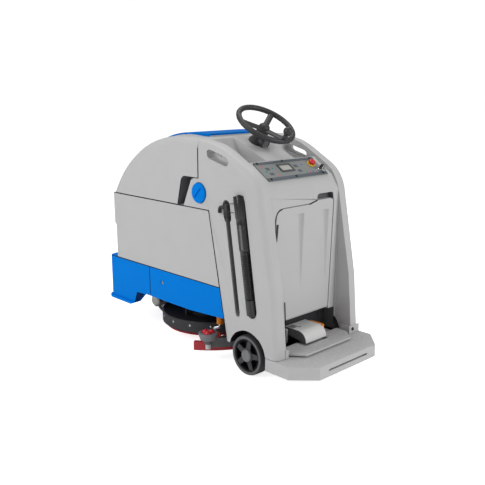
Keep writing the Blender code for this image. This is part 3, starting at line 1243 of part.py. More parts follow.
def make_steering():
    """Steering wheel with its spinner knob, the shaft, and the boot where the column leaves the dash."""
    place = column_place()
    bpy.ops.mesh.primitive_torus_add(
        major_segments=36, minor_segments=8, major_radius=STEER_R, minor_radius=STEER_RIM_R)
    wheel = link(bpy.context.object, PARTS)
    inside = SHAFT_R + CLEAR
    hub_low = -STEER_DISH - STEER_HUB_DEPTH
    hub_top = -STEER_DISH + STEER_HUB_DEPTH
    pieces = [rod("hub", (0, 0, hub_low), (0, 0, hub_top), STEER_HUB_R, STEER_HUB_TOP_R, 20)]
    slope = math.atan2(STEER_DISH, STEER_R - inside)
    length = math.hypot(STEER_DISH, STEER_R - inside)
    for degrees in STEER_SPOKES_DEG:
        spoke = box("spoke", (0, -SPOKE_WIDTH / 2, -SPOKE_THICK / 2),
                    (length, SPOKE_WIDTH / 2, SPOKE_THICK / 2))
        lean = Matrix.Translation((inside, 0, -STEER_DISH)) @ Matrix.Rotation(-slope, 4, "Y")
        spoke.data.transform(Matrix.Rotation(math.radians(degrees), 4, "Z") @ lean)
        pieces.append(spoke)
    knob_x = STEER_R * math.cos(math.radians(KNOB_DEG))
    knob_y = STEER_R * math.sin(math.radians(KNOB_DEG))
    knob_foot = STEER_RIM_R + 2 * CLEAR
    pieces.append(rod_z("knob_post", 0, knob_foot + KNOB_POST_LENGTH, knob_x, knob_y, KNOB_POST_R, 12))
    socket = hub_top - SOCKET_WALL
    bore = rod_z("shaft_socket", hub_low - PAST, socket, 0, 0, SHAFT_R + CLEAR, 20)
    for piece in [wheel, bore] + pieces:
        piece.data.transform(place)
    fuse(wheel, *pieces)
    cut(wheel, bore)
    finish(wheel, "steering_wheel", BLACK_PLASTIC, column_point(0))

    knob_place = place @ Vector((knob_x, knob_y, knob_foot))
    axis = place.to_3x3() @ Z_AXIS
    inner = KNOB_POST_R + RUN
    depth = KNOB_POST_LENGTH + CLEAR
    ball = list(reversed(arc((0, KNOB_HEIGHT - KNOB_R), KNOB_R, -30, 60, 3)))
    knob = turned("knob", [(0.0, KNOB_HEIGHT)] + ball + [
        (KNOB_NECK_R, KNOB_HEIGHT - 2 * KNOB_R), (KNOB_NECK_R, 0.0), (inner, 0.0), (inner, depth),
        (0.0, depth)], knob_place, axis, 16)
    finish(knob, "spinner_knob", BLACK_PLASTIC, knob_place)

    shaft = rod("shaft", column_point(CLEAR - socket), column_point(SHAFT_END), SHAFT_R, sides=20)
    finish(shaft, "steering_shaft", BARE_STEEL, column_point(0))
    height = BOOT_SEAT - BOOT_TOP
    bore_r = SHAFT_R + RUN
    boot = turned("boot", [
        (bore_r, height), (BOOT_NECK_R, height), (BOOT_NECK_R + EDGE, height / 2), (BOOT_BASE_R, BOOT_RIM),
        (BOOT_BASE_R, CLEAR), (bore_r, CLEAR)], column_point(BOOT_SEAT), axis, 24)
    finish(boot, "steering_boot", BLACK_RUBBER)


def make_panel():
    """Control panel: film-faced plate, display, emergency stop and key switch."""
    place = panel_place()
    axis = place.to_3x3() @ Z_AXIS

    def on_panel(x, v, height):
        """A point on the panel, at a height above the dash."""
        return place @ Vector((x, v, height))

    face = CLEAR + PANEL_THICK
    plate = box("plate", (-PANEL_HALF, -PANEL_DEPTH / 2, CLEAR), (PANEL_HALF, PANEL_DEPTH / 2, face))
    plate.data.transform(place)
    finish(plate, "control_panel", PANEL_FILM)
    seat = face + CLEAR
    window = box("window", (DISPLAY_X - DISPLAY_WIDTH / 2, DISPLAY_V - DISPLAY_DEPTH / 2, seat),
                 (DISPLAY_X + DISPLAY_WIDTH / 2, DISPLAY_V + DISPLAY_DEPTH / 2, seat + DISPLAY_THICK))
    window.data.transform(place)
    finish(window, "display_window", DISPLAY_GLASS)

    bore = ESTOP_STEM_R + RUN
    collar = turned("collar", [
        (bore, COLLAR_HEIGHT), (COLLAR_R - EDGE / 2, COLLAR_HEIGHT), (COLLAR_R, COLLAR_HEIGHT - EDGE / 2),
        (COLLAR_R, 0.0), (bore, 0.0)], on_panel(ESTOP_X, ESTOP_V, seat), axis, ROUND_SIDES)
    finish(collar, "estop_collar", YELLOW_PLASTIC)
    rise = COLLAR_HEIGHT + ESTOP_TRAVEL + CLEAR
    foot = ESTOP_TRAVEL + CLEAR
    button = turned("button", [
        (0.0, rise + ESTOP_HEAD), (ESTOP_R - EDGE, rise + ESTOP_HEAD), (ESTOP_R, rise + ESTOP_HEAD - EDGE),
        (ESTOP_R, rise), (ESTOP_STEM_R, rise), (ESTOP_STEM_R, foot), (0.0, foot)],
        on_panel(ESTOP_X, ESTOP_V, seat), axis, ROUND_SIDES)
    finish(button, "estop_button", RED_PLASTIC, on_panel(ESTOP_X, ESTOP_V, seat))

    stem_bore = KEY_STEM_R + RUN
    switch = turned("switch", [
        (stem_bore, KEY_SWITCH_HEIGHT), (KEY_SWITCH_R, KEY_SWITCH_HEIGHT), (KEY_SWITCH_R, 0.0),
        (stem_bore, 0.0)], on_panel(KEY_X, KEY_V, seat), axis, ROUND_SIDES)
    finish(switch, "key_switch", BARE_STEEL)
    low = KEY_SWITCH_HEIGHT + EDGE / 2
    high = low + KEY_HEAD_HEIGHT
    side = KEY_HEAD_WIDTH / 2
    key = rod("key", (0, 0, CLEAR), (0, 0, low + EDGE), KEY_STEM_R, sides=12)
    head = rounded([
        (-side, low, EDGE / 2), (side, low, EDGE / 2), (side, high, EDGE), (-side, high, EDGE)], 3)
    fuse(key, prism("key_head", head, "Y", -KEY_HEAD_THICK / 2, KEY_HEAD_THICK / 2))
    key_place = place @ Matrix.Translation((KEY_X, KEY_V, seat))
    tool = key.modifiers[0].object
    tool.data.transform(key_place @ tool.matrix_world)
    tool.matrix_world = Matrix.Identity(4)
    key.data.transform(key_place)
    finish(key, "key", BLACK_PLASTIC, on_panel(KEY_X, KEY_V, seat))


def make_drain_hose():
    """Ribbed drain hose with its smooth cuff, and the long tapered plug it hangs from."""
    top, along, length = drain_line()
    cuff_start = length - DRAIN_CUFF_LENGTH
    hose_start = DRAIN_PLUG_LENGTH + CLEAR
    tail = 2 * DRAIN_HOSE_R
    pitch = (cuff_start - hose_start) / (DRAIN_RIBS + 1)
    stations = [(hose_start, DRAIN_HOSE_R - DRAIN_RIB)]
    for index in range(DRAIN_RIBS):
        at = hose_start + (index + 0.5) * pitch
        stations.append((at, DRAIN_HOSE_R))
        stations.append((at + pitch / 2, DRAIN_HOSE_R - DRAIN_RIB))
    stations += [(cuff_start, DRAIN_HOSE_R + DRAIN_RIB), (length, DRAIN_HOSE_R + DRAIN_RIB)]
    points = [top + along * at for at, radius in stations]
    hose = tube("hose", points, [radius for at, radius in stations], 2)
    cut(hose, rod("hose_bore", top + along * (hose_start - tail), top + along * (length + tail),
                  DRAIN_BORE_R, sides=10))
    finish(hose, "drain_hose", BLACK_RUBBER)
    slim = DRAIN_PLUG_R - EDGE / 2
    neck = DRAIN_HOSE_R - DRAIN_RIB
    end = DRAIN_PLUG_LENGTH
    plug = turned("plug", [
        (0.0, 0.0), (DRAIN_PLUG_R - EDGE, 0.0), (DRAIN_PLUG_R, -EDGE), (DRAIN_PLUG_R, -end * PLUG_GRIP),
        (slim, -end * PLUG_GRIP - EDGE), (slim, -end * PLUG_NECK_TOP), (neck, -end * PLUG_NECK_TOP - EDGE),
        (neck, -end), (0.0, -end)], top, -along, ROUND_SIDES)
    finish(plug, "drain_plug", BLACK_PLASTIC)


def make_level_hose():
    """Slim level hose in its own channel, and the elbow fitting it hangs from."""
    top, along, length = level_line()
    fitting_end = top + along * LEVEL_FITTING_LENGTH
    hose = rod("hose", fitting_end + along * CLEAR, top + along * length, LEVEL_HOSE_R, sides=12)
    finish(hose, "level_hose", BLACK_RUBBER)
    body = LEVEL_FITTING_LENGTH / 2
    slim = LEVEL_FITTING_R - EDGE
    fitting = turned("fitting", [
        (0.0, 0.0), (LEVEL_FITTING_R - EDGE, 0.0), (LEVEL_FITTING_R, -EDGE), (LEVEL_FITTING_R, -body),
        (slim, -body - EDGE), (slim, -LEVEL_FITTING_LENGTH), (0.0, -LEVEL_FITTING_LENGTH)],
        top, -along, ROUND_SIDES)
    finish(fitting, "hose_fitting", BLACK_PLASTIC)


def make_drive():
    """Steered front drive: fork, wheel, traction motor and the bearing that carries the fork."""
    axle = (0, DRIVE_Y, WHEEL_R)
    cheek_in = DRIVE_WIDTH / 2 + CHEEK_GAP
    cheek_out = cheek_in + CHEEK_THICK
    crown_low = 2 * WHEEL_R + CROWN_GAP
    crown_top = crown_low + CROWN_THICK
    crown_middle = crown_low + CROWN_THICK / 2
    half = FORK_LENGTH / 2
    fork = box("fork", (-cheek_out, DRIVE_Y - half, crown_low), (cheek_out, DRIVE_Y + half, crown_top))
    for name, side in SIDES:
        xs = sorted((side * cheek_in, side * cheek_out))
        fuse(fork, box("cheek", (xs[0], DRIVE_Y - half, WHEEL_R - half),
                       (xs[1], DRIVE_Y + half, crown_middle)))
    fuse(fork, rod_z("kingpin", crown_middle, KINGPIN_TOP_Z, 0, DRIVE_Y, KINGPIN_R, 20))
    fuse(fork, rod_z("collar", crown_middle, FRAME_LOW_Z - CLEAR, 0, DRIVE_Y, BEARING_FLANGE_R, 20))
    cut(fork, rod_x("drive_axle_bore", -BODY_WIDTH, BODY_WIDTH, DRIVE_Y, WHEEL_R, DRIVE_AXLE_R + RUN, 16))
    finish(fork, "drive_fork", FRAME_STEEL, (0, DRIVE_Y, crown_top))

    width = DRIVE_WIDTH / 2
    tyre = turned("tyre", [
        (DRIVE_RIM_R, width), (WHEEL_R - EDGE, width), (WHEEL_R, width - EDGE), (WHEEL_R, -width + EDGE),
        (WHEEL_R - EDGE, -width), (DRIVE_RIM_R, -width)], axle, X_AXIS, WHEEL_SIDES)
    finish(tyre, "drive_tyre", BLACK_RUBBER)
    hub_r = DRIVE_RIM_R - CLEAR
    stub = cheek_out - CHEEK_GAP
    face = width - EDGE
    hub = turned("hub", [
        (0.0, stub), (DRIVE_AXLE_R, stub), (DRIVE_AXLE_R, face), (hub_r, face), (hub_r, -face),
        (DRIVE_AXLE_R, -face), (DRIVE_AXLE_R, -stub), (0.0, -stub)], axle, X_AXIS, WHEEL_SIDES)
    finish(hub, "drive_hub", CAST_METAL)
    motor = turned("motor", [
        (0.0, DRIVE_MOTOR_LENGTH), (DRIVE_MOTOR_R - 2 * EDGE, DRIVE_MOTOR_LENGTH),
        (DRIVE_MOTOR_R, DRIVE_MOTOR_LENGTH - 2 * EDGE), (DRIVE_MOTOR_R, 0.0), (0.0, 0.0)],
        (-cheek_out - CLEAR, DRIVE_Y, WHEEL_R), -X_AXIS, 24)
    finish(motor, "drive_motor", CAST_METAL)
    top = FRAME_LOW_Z + FRONT_PLATE_THICK + CLEAR
    bore = KINGPIN_R + RUN
    bearing = turned("bearing", [
        (bore, top + BEARING_FLANGE), (BEARING_FLANGE_R, top + BEARING_FLANGE), (BEARING_FLANGE_R, top),
        (BEARING_R, top), (BEARING_R, FRAME_LOW_Z), (bore, FRAME_LOW_Z)], (0, DRIVE_Y, 0), Z_AXIS, 20)
    finish(bearing, "steering_bearing", BARE_STEEL)


def bristle_places():
    """Tufts on rings, with more of them on the wider rings."""
    step = (BRUSH_R - BRISTLE_R * 2 - BRISTLE_FIRST_R) / (BRISTLE_RINGS - 1)
    places = []
    for ring in range(BRISTLE_RINGS):
        radius = BRISTLE_FIRST_R + ring * step
        count = round(2 * math.pi * radius / BRISTLE_PITCH)
        for index in range(count):
            angle = 2 * math.pi * (index + 0.5 * (ring % 2)) / count
            places.append((radius * math.cos(angle), radius * math.sin(angle)))
    return places


def make_deck():
    """Brush deck: housing with guide rods, skirt, motor, lift rod, and the brush below."""
    plate_r = DECK_R - DECK_SKIRT_THICK - CLEAR
    bore = BRUSH_SHAFT_R + RUN
    housing = turned("housing", [
        (bore, DECK_HAT_TOP_Z), (DECK_HAT_TOP_R, DECK_HAT_TOP_Z), (DECK_HAT_R, DECK_SKIRT_TOP_Z + 3 * EDGE),
        (DECK_HAT_R, DECK_SKIRT_TOP_Z), (plate_r, DECK_SKIRT_TOP_Z), (plate_r, DECK_PLATE_LOW_Z),
        (bore, DECK_PLATE_LOW_Z)], (0, DECK_Y, 0), Z_AXIS, DECK_SIDES)
    for name, side in SIDES:
        fuse(housing, rod_z("guide_rod", DECK_PLATE_LOW_Z + DECK_PLATE / 2, GUIDE_ROD_TOP_Z, side * RAIL_X,
                            DECK_Y, GUIDE_ROD_R, 16))
    finish(housing, "deck_housing", BLACK_PLASTIC)
    skirt = turned("skirt", [
        (DECK_R - EDGE, DECK_SKIRT_TOP_Z + EDGE), (DECK_R, DECK_SKIRT_TOP_Z), (DECK_R, DECK_SKIRT_LOW_Z),
        (DECK_R - DECK_SKIRT_THICK, DECK_SKIRT_LOW_Z), (DECK_R - DECK_SKIRT_THICK, DECK_SKIRT_TOP_Z + EDGE)],
        (0, DECK_Y, 0), Z_AXIS, DECK_SIDES)
    finish(skirt, "deck_skirt", BLACK_RUBBER)
    motor_low = DECK_HAT_TOP_Z + CLEAR
    motor = turned("motor", [
        (0.0, BRUSH_MOTOR_TOP_Z), (BRUSH_MOTOR_R - 2 * EDGE, BRUSH_MOTOR_TOP_Z),
        (BRUSH_MOTOR_R, BRUSH_MOTOR_TOP_Z - 2 * EDGE), (BRUSH_MOTOR_R, motor_low), (0.0, motor_low)],
        (0, DECK_Y, 0), Z_AXIS, 24)
    finish(motor, "brush_motor", BLACK_PLASTIC)
    rod_top = FRAME_LOW_Z - ACTUATOR_R / 2
    bore = ACTUATOR_ROD_R + RUN
    bore_top = rod_top + EDGE
    lift = rod_z("lift_rod", DECK_SKIRT_TOP_Z + CLEAR, rod_top, ACTUATOR_X, ACTUATOR_Y, ACTUATOR_ROD_R, 16)
    finish(lift, "deck_lift_rod", BARE_STEEL)
    sleeve = turned("sleeve", [
        (0.0, FRAME_LOW_Z - CLEAR), (ACTUATOR_R, FRAME_LOW_Z - CLEAR), (ACTUATOR_R, ACTUATOR_LOW_Z),
        (bore, ACTUATOR_LOW_Z), (bore, bore_top), (0.0, bore_top)], (ACTUATOR_X, ACTUATOR_Y, 0), Z_AXIS, 16)
    finish(sleeve, "deck_lift_actuator", BLACK_PLASTIC)

    backing_low = BRUSH_TOP_Z - BRUSH_BACK
    shaft_top = DECK_HAT_TOP_Z - EDGE
    brush = turned("brush", [
        (0.0, shaft_top), (BRUSH_SHAFT_R, shaft_top), (BRUSH_SHAFT_R, BRUSH_TOP_Z), (BRUSH_R, BRUSH_TOP_Z),
        (BRUSH_R, backing_low), (0.0, backing_low)], (0, DECK_Y, 0), Z_AXIS, DECK_SIDES)
    tuft_top = BRUSH_TOP_Z - BRUSH_BACK / 2
    tufts = bmesh.new()
    for x, y in bristle_places():
        bmesh.ops.create_cone(
            tufts, cap_ends=True, segments=3, radius1=BRISTLE_R, radius2=BRISTLE_R,
            depth=tuft_top - BRISTLE_LOW_Z,
            matrix=Matrix.Translation((x, DECK_Y + y, (BRISTLE_LOW_Z + tuft_top) / 2)))
    fuse(brush, mesh_object("tufts", tufts))
    finish(brush, "brush", RED_RUBBER, (0, DECK_Y, BRUSH_TOP_Z))


def arc_band(inner, outer, half_degrees, steps):
    """Plan outline of a band along the squeegee arc."""
    degrees = [-half_degrees + 2 * half_degrees * step / steps for step in range(steps + 1)]
    outside = [squeegee_point(angle, outer) for angle in degrees]
    inside = [squeegee_point(angle, inner) for angle in reversed(degrees)]
    return outside + inside


def make_squeegee():
    """Curved squeegee: beam with its post and suction spigot, two blades and two guard rollers."""
    half = BEAM_WIDTH / 2
    rib = RIB_THICK / 2
    middle_z = BEAM_LOW_Z + BEAM_HEIGHT / 2
    beam_band = arc_band(SQUEEGEE_R - half, SQUEEGEE_R + half, BEAM_HALF_DEG, 20)
    rib_band = arc_band(SQUEEGEE_R - rib, SQUEEGEE_R + rib, RIB_HALF_DEG, 20)
    beam = prism("beam", beam_band, "Z", BEAM_LOW_Z, BEAM_TOP_Z)
    fuse(beam, prism("rib", rib_band, "Z", RIB_LOW_Z, middle_z))
    grip = rib + 2 * CLEAR + BLADE_THICK
    for inner, outer in ((SQUEEGEE_R + grip, SQUEEGEE_R + half), (SQUEEGEE_R - half, SQUEEGEE_R - grip)):
        fuse(beam, prism("clamp", arc_band(inner, outer, RIB_HALF_DEG, 20), "Z", CLAMP_LOW_Z, middle_z))
    fuse(beam, box("post", (-POST_WIDTH / 2, SQUEEGEE_MID_Y - POST_DEPTH / 2, middle_z),
                   (POST_WIDTH / 2, SQUEEGEE_MID_Y + POST_DEPTH / 2, POST_TOP_Z)))
    spigot_y = SQUEEGEE_CENTRE_Y - math.sqrt(SQUEEGEE_R ** 2 - SPIGOT_X ** 2)
    fuse(beam, rod_z("spigot", middle_z, BEAM_TOP_Z + SPIGOT_HEIGHT, SPIGOT_X, spigot_y, SPIGOT_R, 20))
    guard_low = BEAM_TOP_Z + CLEAR
    pin = GUARD_PIN_R + RUN
    top = GUARD_HEIGHT
    deep = GUARD_PIN_LENGTH + CLEAR
    for name, side in SIDES:
        x, y = squeegee_point(side * GUARD_DEG, SQUEEGEE_R + GUARD_OUT)
        near_x, near_y = squeegee_point(side * GUARD_DEG, SQUEEGEE_R)
        arm = stadium((near_x, near_y), (x, y), GUARD_ARM_R, 5)
        fuse(beam, prism("arm", arm, "Z", BEAM_LOW_Z + CLEAR, BEAM_TOP_Z - CLEAR / 2))
        fuse(beam, rod_z("guard_foot", GUARD_FOOT_Z, middle_z, x, y, GUARD_FOOT_R, 12))
        fuse(beam, rod_z("guard_pin", middle_z, guard_low + GUARD_PIN_LENGTH, x, y, GUARD_PIN_R, 12))
        roller = turned("roller", [
            (0.0, top), (GUARD_R - 2 * EDGE, top), (GUARD_R, top - 2 * EDGE), (GUARD_R, EDGE),
            (GUARD_R - EDGE, 0.0), (pin, 0.0), (pin, deep), (0.0, deep)], (x, y, guard_low), Z_AXIS, 20)
        finish(roller, f"{name}_guard_roller", DARK_GREY, (x, y, guard_low))
    finish(beam, "squeegee_beam", DARK_GREY)
    top = BEAM_LOW_Z - CLEAR
    front_inner = SQUEEGEE_R - rib - CLEAR - BLADE_THICK
    for name, inner in (("front_blade", front_inner), ("rear_blade", SQUEEGEE_R + rib + CLEAR)):
        band = arc_band(inner, inner + BLADE_THICK, BLADE_HALF_DEG, 24)
        blade = prism("blade", band, "Z", SQUEEGEE_LOW_Z, top)
        finish(blade, name, RED_RUBBER)


def make_inner_units():
    """Batteries, vacuum motor and controller in the bay, and the valve under the left rail."""
    floor = BAY_FLOOR_Z + CLEAR
    for name, side in SIDES:
        xs = sorted((side * BATTERY_GAP / 2, side * (BATTERY_GAP / 2 + BATTERY_WIDTH)))
        battery = box("battery", (xs[0], BATTERY_Y - BATTERY_LENGTH / 2, floor),
                      (xs[1], BATTERY_Y + BATTERY_LENGTH / 2, floor + BATTERY_HEIGHT))
        finish(battery, f"{name}_battery", BLACK_PLASTIC)
    vacuum = turned("vacuum", [
        (0.0, VACUUM_HEIGHT), (VACUUM_CAP_R, VACUUM_HEIGHT), (VACUUM_CAP_R, VACUUM_FAN_HEIGHT + EDGE),
        (VACUUM_R, VACUUM_FAN_HEIGHT), (VACUUM_R, 0.0), (0.0, 0.0)], (VACUUM_X, VACUUM_Y, floor), Z_AXIS, 24)
    finish(vacuum, "vacuum_motor", BLACK_PLASTIC)
    half_x = CONTROLLER_WIDTH / 2
    half_y = CONTROLLER_LENGTH / 2
    controller = box("controller", (CONTROLLER_X - half_x, VACUUM_Y - half_y, floor),
                     (CONTROLLER_X + half_x, VACUUM_Y + half_y, floor + CONTROLLER_HEIGHT))
    finish(controller, "drive_controller", DARK_GREY)
    x = -RAIL_X - VALVE_OUT
    valve = rod_z("valve", VALVE_LOW_Z, VALVE_LOW_Z + VALVE_HEIGHT, x, VALVE_Y, VALVE_R, 16)
    stem = VALVE_STEM / 2
    fuse(valve, box("valve_stem", (x - stem, VALVE_Y - stem, VALVE_LOW_Z + VALVE_HEIGHT / 2),
                    (-RAIL_X + stem, VALVE_Y + stem, FRAME_LOW_Z - CLEAR)))
    finish(valve, "solution_valve", ORANGE_PLASTIC)


def carry_to_middle():
    """Hang every object on one empty that puts the origin under the middle of the machine."""
    root = bpy.data.objects.new("scrubber_origin", None)
    bpy.context.scene.collection.objects.link(root)
    for collection in (PARTS, CUTTERS):
        for obj in collection.objects:
            obj.parent = root
    root.location = (0, FRAME_SHIFT_Y, 0)


make_frame()
make_rear_wheels()
make_platform()
make_step_plate()
make_pedal()
make_lower_body()
make_skirts()
make_console()
make_door()
make_tank()
make_lid()
make_filler()
make_steering()
make_panel()
make_drain_hose()
make_level_hose()
make_drive()
make_deck()
make_squeegee()
make_inner_units()
carry_to_middle()
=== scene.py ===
"""Looks of a stand-on floor scrubber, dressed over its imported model."""
import json
from math import atan2, copysign, cos, hypot, pi, radians, sin

import bpy
from mathutils import Matrix, Vector


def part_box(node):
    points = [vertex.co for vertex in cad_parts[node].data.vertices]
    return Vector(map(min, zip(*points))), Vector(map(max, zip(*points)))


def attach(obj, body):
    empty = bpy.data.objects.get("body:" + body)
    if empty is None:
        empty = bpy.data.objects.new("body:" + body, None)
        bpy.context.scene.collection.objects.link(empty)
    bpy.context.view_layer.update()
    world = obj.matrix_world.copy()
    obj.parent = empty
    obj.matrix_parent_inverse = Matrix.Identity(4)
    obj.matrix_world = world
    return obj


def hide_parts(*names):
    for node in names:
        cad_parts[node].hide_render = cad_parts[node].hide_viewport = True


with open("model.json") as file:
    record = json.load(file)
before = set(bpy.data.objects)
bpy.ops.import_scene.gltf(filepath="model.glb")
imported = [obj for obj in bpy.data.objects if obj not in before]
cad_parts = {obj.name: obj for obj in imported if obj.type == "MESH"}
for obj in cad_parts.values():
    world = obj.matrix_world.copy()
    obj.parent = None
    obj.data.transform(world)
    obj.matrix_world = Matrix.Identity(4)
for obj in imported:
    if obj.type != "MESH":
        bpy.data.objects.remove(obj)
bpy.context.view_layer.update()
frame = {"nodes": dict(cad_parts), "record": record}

# The view: the machine seen from behind on its left, as a standing person sees it from some steps away.
# The floor is a pale studio sheet, lit by large soft lights from the front left and from behind.
CAMERA_FROM_AXLE = (-2.594, -2.324, 1.43)
CAMERA_PITCH = radians(12.898)
CAMERA_HEADING = radians(43.94)
FOCAL_PIXELS = 690
FRAME_PIXELS = 485
SENSOR = 36.0
FLOOR_SIZE = 60.0
FLOOR_GLOW = 0.8
WORLD_LIGHT = 0.3
axle_low, axle_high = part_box("rear_axle")
AXLE_Y = (axle_low.y + axle_high.y) / 2


def at(x, y, z):
    """A place counted from the floor under the middle of the rear axle."""
    return Vector((x, AXLE_Y + y, z))


def linear(colour):
    """An sRGB hex colour as linear red, green, blue and alpha."""
    shares = [int(colour[start:start + 2], 16) / 255 for start in (0, 2, 4)]
    return (*[s / 12.92 if s <= 0.04045 else ((s + 0.055) / 1.055) ** 2.4 for s in shares], 1.0)


def node(tree, kind, settings=None, links=None):
    """Add a node, set its values and link its inputs."""
    made = tree.nodes.new(kind)
    for name, value in (settings or {}).items():
        if name in made.inputs:
            made.inputs[name].default_value = value
        else:
            setattr(made, name, value)
    for name, source in (links or {}).items():
        tree.links.new(source, made.inputs[name])
    return made


def camera_only(tree, low, high):
    """A value that is low for the light's rays and high for the camera's."""
    rays = node(tree, "ShaderNodeLightPath").outputs["Is Camera Ray"]
    span = node(tree, "ShaderNodeMapRange", {"To Min": low, "To Max": high}, {"Value": rays})
    return span.outputs["Result"]


def primitive(name, add, **settings):
    """Add a primitive with nothing else selected."""
    bpy.ops.object.select_all(action="DESELECT")
    add(**settings)
    piece = bpy.context.object
    piece.name = name
    return piece


def soft_light(name, place, aim, size, power):
    """A large square studio light that faces a point."""
    bpy.ops.object.light_add(type="AREA", location=place)
    lamp = bpy.context.object
    lamp.name = name
    lamp.data.shape = "SQUARE"
    lamp.data.size = size
    lamp.data.energy = power
    lamp.rotation_euler = (Vector(aim) - Vector(place)).to_track_quat("-Z", "Y").to_euler()


bpy.ops.object.select_all(action="DESELECT")
bpy.ops.object.camera_add(
    location=at(*CAMERA_FROM_AXLE), rotation=(pi / 2 - CAMERA_PITCH, 0, -CAMERA_HEADING))
camera = bpy.context.object
camera.data.sensor_width = SENSOR
camera.data.lens = SENSOR * FOCAL_PIXELS / FRAME_PIXELS
bpy.context.scene.camera = camera
bpy.context.scene.view_settings.view_transform = "Standard"

soft_light("side_light", (-3.6, 0.9, 2.6), (0, 0, 0.6), 2.4, 74)
soft_light("rear_light", (1.3, -4.3, 2.4), (0, 0, 0.6), 2.2, 80)
soft_light("low_light", (-1.9, -3.9, 0.5), (0, -0.1, 0.3), 1.6, 6)
soft_light("top_light", (0.6, 0.8, 4.4), (0, 0, 0.8), 3.0, 62)

world = bpy.data.worlds.new("studio")
bpy.context.scene.world = world
world.use_nodes = True
sky = world.node_tree.nodes["Background"].inputs
sky["Color"].default_value = (1, 1, 1, 1)
world.node_tree.links.new(camera_only(world.node_tree, WORLD_LIGHT, 1.0), sky["Strength"])

floor = primitive("studio_floor", bpy.ops.mesh.primitive_plane_add, size=FLOOR_SIZE)
floor_paint = bpy.data.materials.new("studio_sheet")
floor_paint.use_nodes = True
sheet = floor_paint.node_tree.nodes["Principled BSDF"].inputs
sheet["Base Color"].default_value = linear("FCFCFC")
sheet["Roughness"].default_value = 0.9
sheet["Emission Color"].default_value = (1, 1, 1, 1)
floor_paint.node_tree.links.new(
    camera_only(floor_paint.node_tree, 0.0, FLOOR_GLOW), sheet["Emission Strength"])
floor.data.materials.append(floor_paint)

# The chassis: two welded rails with cross members and axle plates, cut from steel tube and plate.
# It is powder coated black, with a bare turned axle through its back end.
SAME_POINT = 0.00001
FLAT_ENOUGH = radians(0.4)


def coated(name, colour, roughness, grain_mm=1.5, relief_mm=0.1, metallic=0.0, cloud=0.1, cloud_mm=120.0,
           shine=0.5):
    """A skin with a fine grain, and slow clouds in its tone and gloss."""
    material = bpy.data.materials.new(name)
    material.use_nodes = True
    tree = material.node_tree
    shader = tree.nodes["Principled BSDF"]
    place = node(tree, "ShaderNodeTexCoord").outputs["Object"]
    clouds = node(tree, "ShaderNodeTexNoise", {"Scale": 1000 / cloud_mm, "Detail": 4.0}, {"Vector": place})
    base = linear(colour)
    shade = (*[c * (1 - cloud) for c in base[:3]], 1.0)
    light = (*[min(1.0, c * (1 + cloud)) for c in base[:3]], 1.0)
    tone = node(tree, "ShaderNodeMixRGB", {"Color1": shade, "Color2": light}, {"Fac": clouds.outputs["Fac"]})
    gloss = node(tree, "ShaderNodeMapRange",
                 {"To Min": roughness * 0.85, "To Max": min(1.0, roughness * 1.15)},
                 {"Value": clouds.outputs["Fac"]})
    grain = node(tree, "ShaderNodeTexNoise", {"Scale": 1000 / grain_mm, "Detail": 2.0}, {"Vector": place})
    relief = node(tree, "ShaderNodeBump", {"Strength": 0.6, "Distance": relief_mm / 1000},
                  {"Height": grain.outputs["Fac"]})
    tree.links.new(tone.outputs["Color"], shader.inputs["Base Color"])
    tree.links.new(gloss.outputs["Result"], shader.inputs["Roughness"])
    tree.links.new(relief.outputs["Normal"], shader.inputs["Normal"])
    shader.inputs["Metallic"].default_value = metallic
    shader.inputs["Specular IOR Level"].default_value = shine
    return material


def select_only(piece):
    """Leave one piece selected and active."""
    bpy.ops.object.select_all(action="DESELECT")
    piece.select_set(True)
    bpy.context.view_layer.objects.active = piece
    return piece


def edit_all():
    """Go to edit mode with the whole mesh selected."""
    bpy.ops.object.mode_set(mode="EDIT")
    bpy.ops.mesh.select_all(action="SELECT")


def edit_done():
    """Go back to object mode."""
    bpy.ops.object.mode_set(mode="OBJECT")


def settle(piece, degrees=40):
    """Close the normals of a finished mesh and smooth its shading up to an angle."""
    select_only(piece)
    edit_all()
    bpy.ops.mesh.normals_make_consistent(inside=False)
    edit_done()
    bpy.ops.object.shade_smooth_by_angle(angle=radians(degrees))
    return piece


def cad_copy(source, name, radius=0.0, degrees=40, segments=2, keep=None, plates=True):
    """A merged copy of a CAD node, its sharp edges rounded where a test on their two ends lets them be."""
    piece = bpy.data.objects.new(name, frame["nodes"][source].data.copy())
    bpy.context.scene.collection.objects.link(piece)
    piece.data.materials.clear()
    select_only(piece)
    bpy.ops.mesh.customdata_custom_splitnormals_clear()
    edit_all()
    bpy.ops.mesh.remove_doubles(threshold=SAME_POINT)
    if plates:
        bpy.ops.mesh.dissolve_limited(angle_limit=FLAT_ENOUGH)
    edit_done()
    if radius:
        bpy.ops.object.mode_set(mode="EDIT")
        bpy.ops.mesh.select_mode(type="EDGE")
        bpy.ops.mesh.select_all(action="DESELECT")
        bpy.ops.mesh.edges_select_sharp(sharpness=radians(degrees))
        edit_done()
        points = piece.data.vertices
        for edge in piece.data.edges:
            ends = [points[index].co for index in edge.vertices]
            edge.select = edge.select and (keep is None or keep(*ends))
        bpy.ops.object.mode_set(mode="EDIT")
        bpy.ops.mesh.bevel(offset=radius, segments=segments, affect="EDGES", clamp_overlap=False)
        edit_done()
    bpy.ops.object.shade_smooth_by_angle(angle=radians(degrees))
    weigh = piece.modifiers.new("even_normals", "WEIGHTED_NORMAL")
    weigh.keep_sharp = True
    bpy.ops.object.modifier_apply(modifier=weigh.name)
    return piece


def fit(piece, look, slot, *nodes, body="machine"):
    """Give a piece its material, hide the nodes that it stands for and hang it on its body; the slot is not
    used.
    """
    if not piece.data.materials:
        piece.data.materials.append(look)
    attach(piece, body)
    if nodes:
        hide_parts(*nodes)
    return piece


def dress(source, name, radius, look, slot, body="machine"):
    """Put a rounded copy in the place of one CAD node."""
    return fit(cad_copy(source, name, radius), look, slot, source, body=body)


